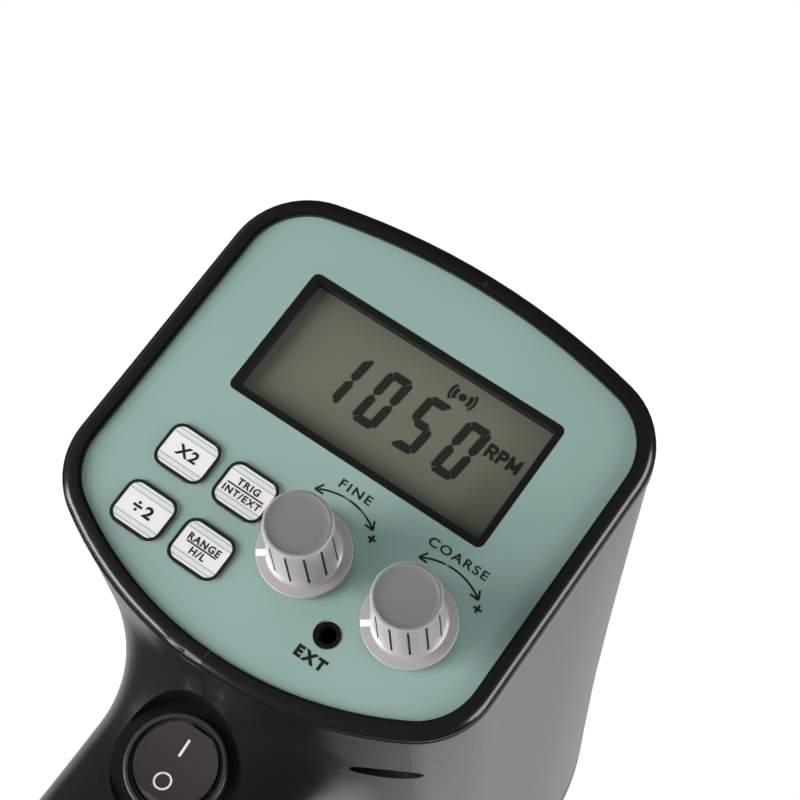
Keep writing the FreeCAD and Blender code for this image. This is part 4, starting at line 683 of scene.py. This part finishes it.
def fluted_tree():
    """Geometry tree that cuts narrow slits round a turned body standing along Y, and gives the slit walls a dark
    material as painted shade.
    """
    tree = bpy.data.node_groups.new("Flutes", "GeometryNodeTree")
    node_input(tree, "NodeSocketGeometry", "Geometry")
    node_input(tree, "NodeSocketInt", "Flutes", 12)
    node_input(tree, "NodeSocketFloat", "Flute width", 0.0005)
    node_input(tree, "NodeSocketFloat", "Flute depth", 0.0012)
    node_input(tree, "NodeSocketFloat", "Circle radius", 0.0074)
    node_input(tree, "NodeSocketFloat", "Flute length", 0.0147)
    node_input(tree, "NodeSocketVector", "Middle")
    node_input(tree, "NodeSocketFloat", "Lean", 0.0)
    node_input(tree, "NodeSocketFloat", "Turn", 0.0)
    node_input(tree, "NodeSocketMaterial", "Finish")
    node_input(tree, "NodeSocketMaterial", "Painted slit shade")
    tree.interface.new_socket(name="Geometry", in_out="OUTPUT", socket_type="NodeSocketGeometry")
    given = tree.nodes.new("NodeGroupInput").outputs
    twist = add_node(tree, "ShaderNodeCombineXYZ", {"Z": given["Turn"]})
    ring = add_node(tree, "GeometryNodeMeshCircle",
                    {"Vertices": given["Flutes"], "Radius": given["Circle radius"]}, fill_type="NONE")
    shifted = add_node(tree, "GeometryNodeTransform",
                       {"Geometry": ring.outputs["Mesh"], "Rotation": twist.outputs["Vector"]})
    sizes = add_node(tree, "ShaderNodeCombineXYZ",
                     {"X": given["Flute depth"], "Y": given["Flute width"], "Z": given["Flute length"]})
    cutter = add_node(tree, "GeometryNodeMeshCube", {"Size": sizes.outputs["Vector"]})
    # The cutter carries the dark slit material, so the cut walls of each slit get painted shade.
    slit = add_node(tree, "GeometryNodeSetMaterial",
                    {"Geometry": cutter.outputs["Mesh"], "Material": given["Painted slit shade"]})
    position = tree.nodes.new("GeometryNodeInputPosition")
    outward = add_node(tree, "FunctionNodeAlignRotationToVector", {"Vector": position.outputs[0]},
                       axis="X", pivot_axis="Z")
    angles = add_node(tree, "ShaderNodeCombineXYZ", {"Y": given["Lean"]})
    tilt = add_node(tree, "FunctionNodeRotateRotation",
                    {"Rotation": outward.outputs["Rotation"], "Rotate By": angles.outputs["Vector"]},
                    rotation_space="LOCAL")
    spread = add_node(tree, "GeometryNodeInstanceOnPoints",
                      {"Points": shifted.outputs["Geometry"], "Instance": slit.outputs["Geometry"],
                       "Rotation": tilt.outputs["Rotation"]})
    solid = add_node(tree, "GeometryNodeRealizeInstances", {"Geometry": spread.outputs["Instances"]})
    stand = add_node(tree, "GeometryNodeTransform",
                     {"Geometry": solid.outputs["Geometry"], "Translation": given["Middle"],
                      "Rotation": (math.radians(90), 0, 0)})
    body = add_node(tree, "GeometryNodeSetMaterial",
                    {"Geometry": given["Geometry"], "Material": given["Finish"]})
    cut = add_node(tree, "GeometryNodeMeshBoolean",
                   {"Mesh 1": body.outputs["Geometry"], "Mesh 2": stand.outputs["Geometry"]},
                   operation="DIFFERENCE", solver="EXACT")
    whole = add_node(tree, "GeometryNodeRealizeInstances", {"Geometry": cut.outputs["Mesh"]})
    outside = add_node(tree, "GeometryNodeMaterialSelection", {"Material": given["Finish"]})
    paint = add_node(tree, "GeometryNodeSetMaterial",
                     {"Geometry": whole.outputs["Geometry"], "Selection": outside.outputs["Selection"],
                      "Material": given["Finish"]})
    add_node(tree, "NodeGroupOutput", {"Geometry": paint.outputs["Geometry"]})
    return tree


def made_by_tree(name, mesh, tree, given):
    """Plain mesh that a geometry tree makes from a mesh and named values."""
    owner = bpy.data.objects.new(name, mesh)
    bpy.context.scene.collection.objects.link(owner)
    modifier = owner.modifiers.new(tree.name, "NODES")
    modifier.node_group = tree
    for item in tree.interface.items_tree:
        if item.in_out == "INPUT" and item.name in given:
            modifier[item.identifier] = given[item.name]
    result = plain_mesh(owner, name)
    discard(owner)
    return result


class STROBOSCOPE_OT_knobs(bpy.types.Operator):
    """Make the fluted knobs, their caps and pointers"""

    bl_idname = "stroboscope.knobs"
    bl_label = "Speed knobs"

    def execute(self, context):
        values = settings()
        pearl = finish("pearly plastic", values.knob_colour, 0.30, metallic=0.20, coat=0.35, grain=0.01,
                       grain_scale=500, drift=0.03, bump=0.0)
        # The dark teal-grey on the slit walls is painted shade, standing in for the shadow inside the narrow slits.
        slit = finish("painted shade in slits", (0.09, 0.105, 0.10), 0.6, bump=0.0)
        face = finish("knob cap", values.cap_colour, 0.42, grain=0.02, grain_scale=2500, drift=0.02, bump=0.01)
        white = finish("pointer", (0.90, 0.90, 0.88), 0.35, bump=0.02)
        tree = fluted_tree()
        for name, (across, up) in KNOB_PLACES.items():
            body = name + "_knob_body"
            turn = math.radians(KNOB_TURNS[name])
            blank = turned_mesh(name + "_blank", knob_profile(), across, up, 144, values.flutes,
                                FACET_FLATNESS, FACET_START, turn)
            knob = made_by_tree(name + "_knob_turned", blank, tree, {
                "Flutes": values.flutes,
                "Flute width": values.flute_width * MM,
                "Flute depth": values.flute_depth * 2 * MM,
                "Circle radius": FLUTE_CIRCLE * MM,
                "Flute length": FLUTE_LENGTH * MM,
                "Middle": spot(across, up, FLUTE_STATION),
                "Lean": math.radians(FLUTE_LEAN),
                "Turn": math.pi / values.flutes - turn,
                "Finish": pearl,
                "Painted slit shade": slit,
            })
            soften(knob, 35.0)
            new_piece(name + "_knob_turned", knob, pearl, body, name + "_knob")
            cap = turned_mesh(name + "_cap", CAP_PROFILE, across, up)
            new_piece(name + "_cap_dished", cap, face, body, name + "_knob_cap")
            pointer = bmesh.new()
            outline = []
            for along, beside in rounded_box(POINTER_MIDDLE, 0.0, *POINTER_SIZE, 2):
                outline.append((across + POINTER_WAY[0] * along - POINTER_WAY[1] * beside,
                                up + POINTER_WAY[1] * along + POINTER_WAY[0] * beside))
            slab(pointer, outline, *POINTER_STATIONS, 0.1)
            new_piece(name + "_pointer", mesh_of("pointer", pointer), white, body)
            dress(name + "_knob_shaft", finish("shaft steel", (0.45, 0.45, 0.45), 0.35, metallic=1.0))
        return {"FINISHED"}


# Trigger socket and power switch

WASHER_PROFILE = [(2.3, 0.26), (3.24, 0.22), (3.26, 0.30), (2.3, 0.32), (2.3, 0.26)]
COLLAR_PROFILE = [(1.95, 0.24), (1.95, 0.02), (2.1, -0.04), (2.7, -0.04), (2.86, 0.02), (2.9, 0.24), (1.95, 0.24)]
COLLAR_SHIFT = (-0.3, -0.2)


class STROBOSCOPE_OT_socket(bpy.types.Operator):
    """Finish the external trigger socket and make its washer and collar"""

    bl_idname = "stroboscope.socket"
    bl_label = "Trigger socket"

    def execute(self, context):
        black = finish("socket black", (0.006, 0.006, 0.006), 0.35, bump=0.02, specular=0.3)
        dress("trigger_socket", black)
        across, up = SOCKET_PLACE
        pale = finish("socket washer", (0.42, 0.50, 0.47), 0.35, bump=0.02)
        new_piece("socket_washer", turned_mesh("washer", WASHER_PROFILE, across, up, 64), pale)
        ring = turned_mesh("collar", COLLAR_PROFILE, across + COLLAR_SHIFT[0], up + COLLAR_SHIFT[1], 64)
        new_piece("socket_collar", ring, black)
        return {"FINISHED"}


BEHIND_PANEL = -0.2
SWITCH_UP = -71.6


def laid_on(mesh, node, lift=0.02):
    """Moves a flat mark along the barrel until it lies on a node's rear face."""
    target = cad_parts[node].data
    corners = [vertex.co for vertex in target.vertices]
    tree = BVHTree.FromPolygons(corners, [face.vertices for face in target.polygons])
    middle = sum(vertex.co.y for vertex in mesh.vertices) / len(mesh.vertices)
    for vertex in mesh.vertices:
        start = Vector((vertex.co.x, BEHIND_PANEL, vertex.co.z))
        hit = tree.ray_cast(start, Vector((0, 1, 0)))[0]
        vertex.co.y += hit.y - lift * MM - middle
    return mesh


class STROBOSCOPE_OT_switch(bpy.types.Operator):
    """Finish the round power switch and make the marks on its rocker"""

    bl_idname = "stroboscope.switch"
    bl_label = "Power switch"

    def execute(self, context):
        dress("power_switch", finish("switch black", (0.036, 0.036, 0.037), 0.34, grain=0.03, bump=0.0))
        dress("power_rocker", finish("rocker black", (0.043, 0.041, 0.042), 0.24, grain=0.03, bump=0.012))
        dress("switch_terminals", finish("terminal brass", (0.60, 0.42, 0.16), 0.30, metallic=1.0))
        white = finish("switch marks", (0.82, 0.82, 0.80), 0.45, bump=0.02)
        bar = bmesh.new()
        stroke(bar, [(-0.45, SWITCH_UP + 1.9), (-0.65, SWITCH_UP + 6.0)], 0.6, 0, 0.03)
        ring = bmesh.new()
        stroke(ring, arc(0.1, SWITCH_UP - 4.4, 1.82, 0, 350, 35), 0.45, 0, 0.03, closed=True)
        marks = [laid_on(mesh_of(name, mark), "power_rocker") for name, mark in (("on", bar), ("off", ring))]
        new_piece("power_marks", joined("power_marks", marks), white, "rocker_body")
        return {"FINISHED"}


# Housing and foot

def add_seam(material, width):
    """Adds a fine groove on the middle plane to a finish."""
    tree = material.node_tree
    shader = tree.nodes["Principled BSDF"]
    place = tree.nodes.new("ShaderNodeTexCoord").outputs["Object"]
    parts = add_node(tree, "ShaderNodeSeparateXYZ", {0: place})
    away = calculate(tree, "ABSOLUTE", parts.outputs["X"])
    groove = ramp(tree, away, width * MM * 0.35, width * MM)
    given = {"Strength": 0.9, "Distance": width * MM, "Height": groove,
             "Normal": shader.inputs["Normal"].links[0].from_socket}
    relief = add_node(tree, "ShaderNodeBump", given)
    colour = shader.inputs["Base Color"].links[0].from_socket
    feed(tree, shader.inputs["Normal"], relief.outputs["Normal"])
    feed(tree, shader.inputs["Base Color"], mix_colour(tree, groove, (0.002, 0.002, 0.002, 1.0), colour))


class STROBOSCOPE_OT_housing(bpy.types.Operator):
    """Finish the two halves of the black housing, with the seam between them"""

    bl_idname = "stroboscope.housing"
    bl_label = "Housing halves"

    def execute(self, context):
        values = settings()
        shell = finish("housing black", values.housing_colour, 0.21, grain=0.02, grain_scale=2600, drift=0.08,
                       bump=0.035)
        add_seam(shell, values.seam_width / 2)
        dress("housing_left", shell)
        dress("housing_right", shell)
        return {"FINISHED"}


class STROBOSCOPE_OT_foot(bpy.types.Operator):
    """Finish the plate, the tripod bush and the mains inlet in the foot of the grip"""

    bl_idname = "stroboscope.foot"
    bl_label = "Foot of the grip"

    def execute(self, context):
        values = settings()
        dress("foot_plate", finish("foot black", values.housing_colour, 0.42, grain=0.08, bump=0.12))
        dress("mains_inlet", finish("inlet black", (0.013, 0.013, 0.013), 0.45, bump=0.05))
        dress("inlet_pins", finish("pin nickel", (0.55, 0.54, 0.50), 0.25, metallic=1.0))
        dress("tripod_bush", finish("bush brass", (0.58, 0.42, 0.18), 0.32, metallic=1.0, grain=0.06))
        return {"FINISHED"}


# Screws

class STROBOSCOPE_OT_screws(bpy.types.Operator):
    """Finish the cross-recessed screws in the housing and on the board"""

    bl_idname = "stroboscope.screws"
    bl_label = "Screws"

    def execute(self, context):
        steel = finish("screw steel", (0.42, 0.42, 0.41), 0.35, metallic=1.0, grain=0.05)
        dress("housing_screws", steel)
        dress("board_screws", steel)
        return {"FINISHED"}


# Front end

class STROBOSCOPE_OT_front(bpy.types.Operator):
    """Finish the ring, lens, reflector and flash tube at the front"""

    bl_idname = "stroboscope.front"
    bl_label = "Front end"

    def execute(self, context):
        values = settings()
        dress("front_ring", finish("ring black", values.housing_colour, 0.30, grain=0.06, bump=0.08))
        dress("lens_retainer", finish("retainer black", (0.011, 0.011, 0.011), 0.38, bump=0.05))
        dress("lens_gasket", finish("gasket rubber", (0.018, 0.018, 0.018), 0.75, grain=0.05, bump=0.12))
        dress("lens", clear_finish("lens clear", (0.97, 0.98, 0.98), 1.49))
        dress("reflector", finish("reflector metal", (0.88, 0.88, 0.87), 0.10, metallic=1.0, drift=0.02, bump=0.02))
        dress("flash_tube", clear_finish("tube glass", (0.98, 0.97, 0.93), 1.46))
        dress("electrodes", finish("electrode metal", (0.42, 0.41, 0.39), 0.30, metallic=1.0))
        dress("tube_base", finish("base ceramic", (0.72, 0.70, 0.64), 0.45, grain=0.06, bump=0.08))
        dress("lamp_carrier", finish("carrier plastic", (0.030, 0.030, 0.032), 0.45, bump=0.08))
        dress("trigger_coil", finish("coil tape", (0.42, 0.28, 0.07), 0.38, grain=0.05))
        return {"FINISHED"}


def clear_finish(name, colour, bend):
    """Clear glass or plastic with a faintly uneven surface."""
    material = finish(name, colour, 0.05, drift=0.01, bump=0.01, transmission=1.0)
    material.node_tree.nodes["Principled BSDF"].inputs["IOR"].default_value = bend
    return material


# Inner pieces

class STROBOSCOPE_OT_inner(bpy.types.Operator):
    """Finish the boards and the parts on them inside the housing"""

    bl_idname = "stroboscope.inner"
    bl_label = "Inner pieces"

    def execute(self, context):
        board = finish("circuit board", (0.030, 0.130, 0.055), 0.35, grain=0.05, drift=0.15, bump=0.10)
        dress("display_board", board)
        dress("power_board", board)
        dress("panel_plate", finish("plate plastic", (0.035, 0.035, 0.036), 0.50, bump=0.10))
        dress("display_connectors", finish("connector rubber", (0.16, 0.15, 0.15), 0.70, blotch=0.10))
        dress("tactile_switches", finish("switch plastic", (0.020, 0.020, 0.021), 0.40))
        steel = finish("zinc steel", (0.50, 0.50, 0.48), 0.32, metallic=1.0, grain=0.06)
        dress("pot_nuts", steel)
        dress("potentiometers", finish("control body", (0.33, 0.33, 0.31), 0.38, metallic=0.9, grain=0.06))
        dress("discharge_capacitor", finish("can sleeve", (0.010, 0.030, 0.090), 0.28, coat=0.2))
        dress("capacitor_clamp", finish("clamp nylon", (0.62, 0.61, 0.56), 0.45, bump=0.08))
        dress("transformer_core", finish("core ferrite", (0.050, 0.048, 0.045), 0.60, grain=0.08, bump=0.15))
        dress("transformer_winding", finish("winding tape", (0.60, 0.44, 0.08), 0.35, bump=0.06))
        dress("pulse_capacitor", finish("film capacitor", (0.45, 0.08, 0.03), 0.30, coat=0.3))
        dress("regulator", finish("regulator black", (0.018, 0.018, 0.018), 0.50))
        dress("small_capacitors", finish("small can sleeve", (0.015, 0.015, 0.020), 0.30, coat=0.2))
        dress("fuse", clear_finish("fuse glass", (0.96, 0.97, 0.96), 1.47))
        dress("fuse_clips", finish("clip metal", (0.60, 0.56, 0.42), 0.28, metallic=1.0))
        return {"FINISHED"}


# Stage

CAMERA_PLACE = Vector((0.10773, -0.45728, 0.03934))
CAMERA_RIGHT = Vector((0.8167, 0.0346, 0.5761))
CAMERA_UP = Vector((-0.5225, -0.3795, 0.7635))
CAMERA_BACK = Vector((0.2450, -0.9245, -0.2919))
CAMERA_LENS = 94.0
AIM = Vector((0.0, -0.02, 0.14))
FLOOR_REACH = 1.6
FLOOR_LIFT = 0.42
EVEN_LIGHT = 0.21
ROOM_LIGHT = 0.045
BACKDROP_LIGHT = 0.80


def softbox(name, place, width, height, power, colour=(1.0, 1.0, 1.0), roll=0.0):
    """Area lamp at a place, in metres, turned to the aim point, and rolled by an angle in degrees."""
    lamp = bpy.data.lights.new(name, "AREA")
    lamp.shape = "RECTANGLE"
    lamp.size = width
    lamp.size_y = height
    lamp.energy = power
    lamp.color = colour
    holder = bpy.data.objects.new(name, lamp)
    bpy.context.scene.collection.objects.link(holder)
    holder.location = place
    turn = (holder.location - AIM).to_track_quat("Z", "Y").to_matrix()
    holder.rotation_euler = (turn @ Matrix.Rotation(math.radians(roll), 3, "Z")).to_euler()
    return holder


def let_lamps_through(material):
    """Lets lamps and reflections pass the floor, so that a lamp below it lights the object, and keeps it pale."""
    tree = material.node_tree
    shader = tree.nodes["Principled BSDF"]
    rays = tree.nodes.new("ShaderNodeLightPath").outputs
    clear = tree.nodes.new("ShaderNodeBsdfTransparent")
    through = calculate(tree, "MAXIMUM", rays["Is Shadow Ray"], rays["Is Glossy Ray"])
    choice = add_node(tree, "ShaderNodeMixShader", {0: through, 1: shader.outputs[0], 2: clear.outputs[0]})
    feed(tree, tree.nodes["Material Output"].inputs[0], choice.outputs[0])
    shader.inputs["Emission Color"].default_value = (1, 1, 1, 1)
    feed(tree, shader.inputs["Emission Strength"], calculate(tree, "MULTIPLY", rays["Is Camera Ray"], FLOOR_LIFT))


def studio_world():
    """World that is white behind the object and lights it evenly, with a darker room behind the camera."""
    world = bpy.data.worlds.new("studio")
    world.use_nodes = True
    tree = world.node_tree
    white = tree.nodes["Background"]
    white.inputs["Color"].default_value = (1, 1, 1, 1)
    white.inputs["Strength"].default_value = 1.0
    even = add_node(tree, "ShaderNodeBackground", {"Color": (1, 1, 1, 1), "Strength": EVEN_LIGHT})
    way = tree.nodes.new("ShaderNodeTexCoord").outputs["Generated"]
    along = add_node(tree, "ShaderNodeVectorMath", {0: way, 1: CAMERA_BACK}, operation="DOT_PRODUCT")
    ahead = ramp(tree, along.outputs["Value"], -0.50, -0.75, interpolation="SMOOTHSTEP")
    parts = add_node(tree, "ShaderNodeSeparateXYZ", {0: way}).outputs
    rightwards = calculate(tree, "MAXIMUM", parts["X"], 0.0)
    raised = ramp(tree, calculate(tree, "ADD", rightwards, parts["Z"]), -0.32, 0.0)
    level = calculate(tree, "MULTIPLY", raised, ramp(tree, parts["Z"], 0.55, 0.36))
    backdrop = calculate(tree, "MULTIPLY", ahead, level)
    strength = ramp(tree, backdrop, 0.0, 1.0, ROOM_LIGHT, BACKDROP_LIGHT)
    room = add_node(tree, "ShaderNodeBackground", {"Strength": strength})
    rays = tree.nodes.new("ShaderNodeLightPath").outputs
    seen = calculate(tree, "MAXIMUM", rays["Is Camera Ray"], rays["Is Transmission Ray"])
    gloss = add_node(tree, "ShaderNodeMixShader", {0: rays["Is Glossy Ray"], 1: even.outputs[0], 2: room.outputs[0]})
    whole = add_node(tree, "ShaderNodeMixShader", {0: seen, 1: gloss.outputs[0], 2: white.outputs[0]})
    feed(tree, tree.nodes["World Output"].inputs[0], whole.outputs[0])
    return world


class STROBOSCOPE_OT_stage(bpy.types.Operator):
    """Make the camera, the lamps, the pale surroundings and the floor"""

    bl_idname = "stroboscope.stage"
    bl_label = "Camera, lamps and floor"

    def execute(self, context):
        scene = bpy.context.scene
        values = settings()
        camera = bpy.data.cameras.new("camera")
        camera.lens = CAMERA_LENS
        camera.sensor_width = 36.0
        camera.clip_start = 0.01
        holder = bpy.data.objects.new("camera", camera)
        scene.collection.objects.link(holder)
        turn = Matrix((CAMERA_RIGHT, CAMERA_UP, CAMERA_BACK)).transposed()
        holder.matrix_world = Matrix.Translation(CAMERA_PLACE) @ turn.to_4x4()
        scene.camera = holder
        scene.view_settings.view_transform = "Standard"

        scene.world = studio_world()
        softbox("right softbox", (0.693, -0.204, 0.359), 0.26, 0.80, 5.2)
        top = softbox("top softbox", (-0.55, -0.48, 0.78), 0.80, 0.40, 0.9)
        top.visible_glossy = False
        softbox("low softbox", (-0.473, -0.211, -0.410), 0.26, 0.66, 6.0, (1.0, 0.95, 0.96), 34.0)
        side = softbox("side softbox", (-0.36, -0.25, -0.135), 0.26, 0.26, 3.1, (1.0, 0.94, 0.94))
        side.visible_glossy = False

        bm = bmesh.new()
        bmesh.ops.create_grid(bm, x_segments=8, y_segments=8, size=FLOOR_REACH)
        floor = mesh_of("floor", bm)
        paper = finish("floor paper", values.floor_colour, 0.60, drift=0.01, bump=0.02)
        let_lamps_through(paper)
        floor.materials.append(paper)
        ground = bpy.data.objects.new("floor", floor)
        scene.collection.objects.link(ground)
        return {"FINISHED"}


# Sidebar

STEPS = ("housing", "front", "film", "display", "keys", "knobs", "socket", "switch", "foot", "screws", "inner",
         "stage")


class STROBOSCOPE_PT_sidebar(bpy.types.Panel):
    """Lists the pieces of the stroboscope and their settings"""

    bl_idname = "STROBOSCOPE_PT_sidebar"
    bl_label = "Xenon stroboscope"
    bl_space_type = "VIEW_3D"
    bl_region_type = "UI"
    bl_category = "Stroboscope"

    def draw(self, context):
        values = context.scene.stroboscope
        pieces = self.layout.column(align=True)
        for step in STEPS:
            pieces.operator("stroboscope." + step)
        sizes = self.layout.column(align=True)
        for name in values.__annotations__:
            sizes.prop(values, name)


CLASSES = (
    StroboscopeSettings,
    STROBOSCOPE_OT_housing,
    STROBOSCOPE_OT_front,
    STROBOSCOPE_OT_film,
    STROBOSCOPE_OT_display,
    STROBOSCOPE_OT_keys,
    STROBOSCOPE_OT_knobs,
    STROBOSCOPE_OT_socket,
    STROBOSCOPE_OT_switch,
    STROBOSCOPE_OT_foot,
    STROBOSCOPE_OT_screws,
    STROBOSCOPE_OT_inner,
    STROBOSCOPE_OT_stage,
    STROBOSCOPE_PT_sidebar,
)


def register():
    for cls in CLASSES:
        bpy.utils.register_class(cls)
    bpy.types.Scene.stroboscope = PointerProperty(type=StroboscopeSettings)


def unregister():
    del bpy.types.Scene.stroboscope
    for cls in reversed(CLASSES):
        bpy.utils.unregister_class(cls)


def main():
    """Registers the add-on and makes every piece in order."""
    register()
    for step in STEPS:
        getattr(bpy.ops.stroboscope, step)()


if __name__ == "__main__":
    main()
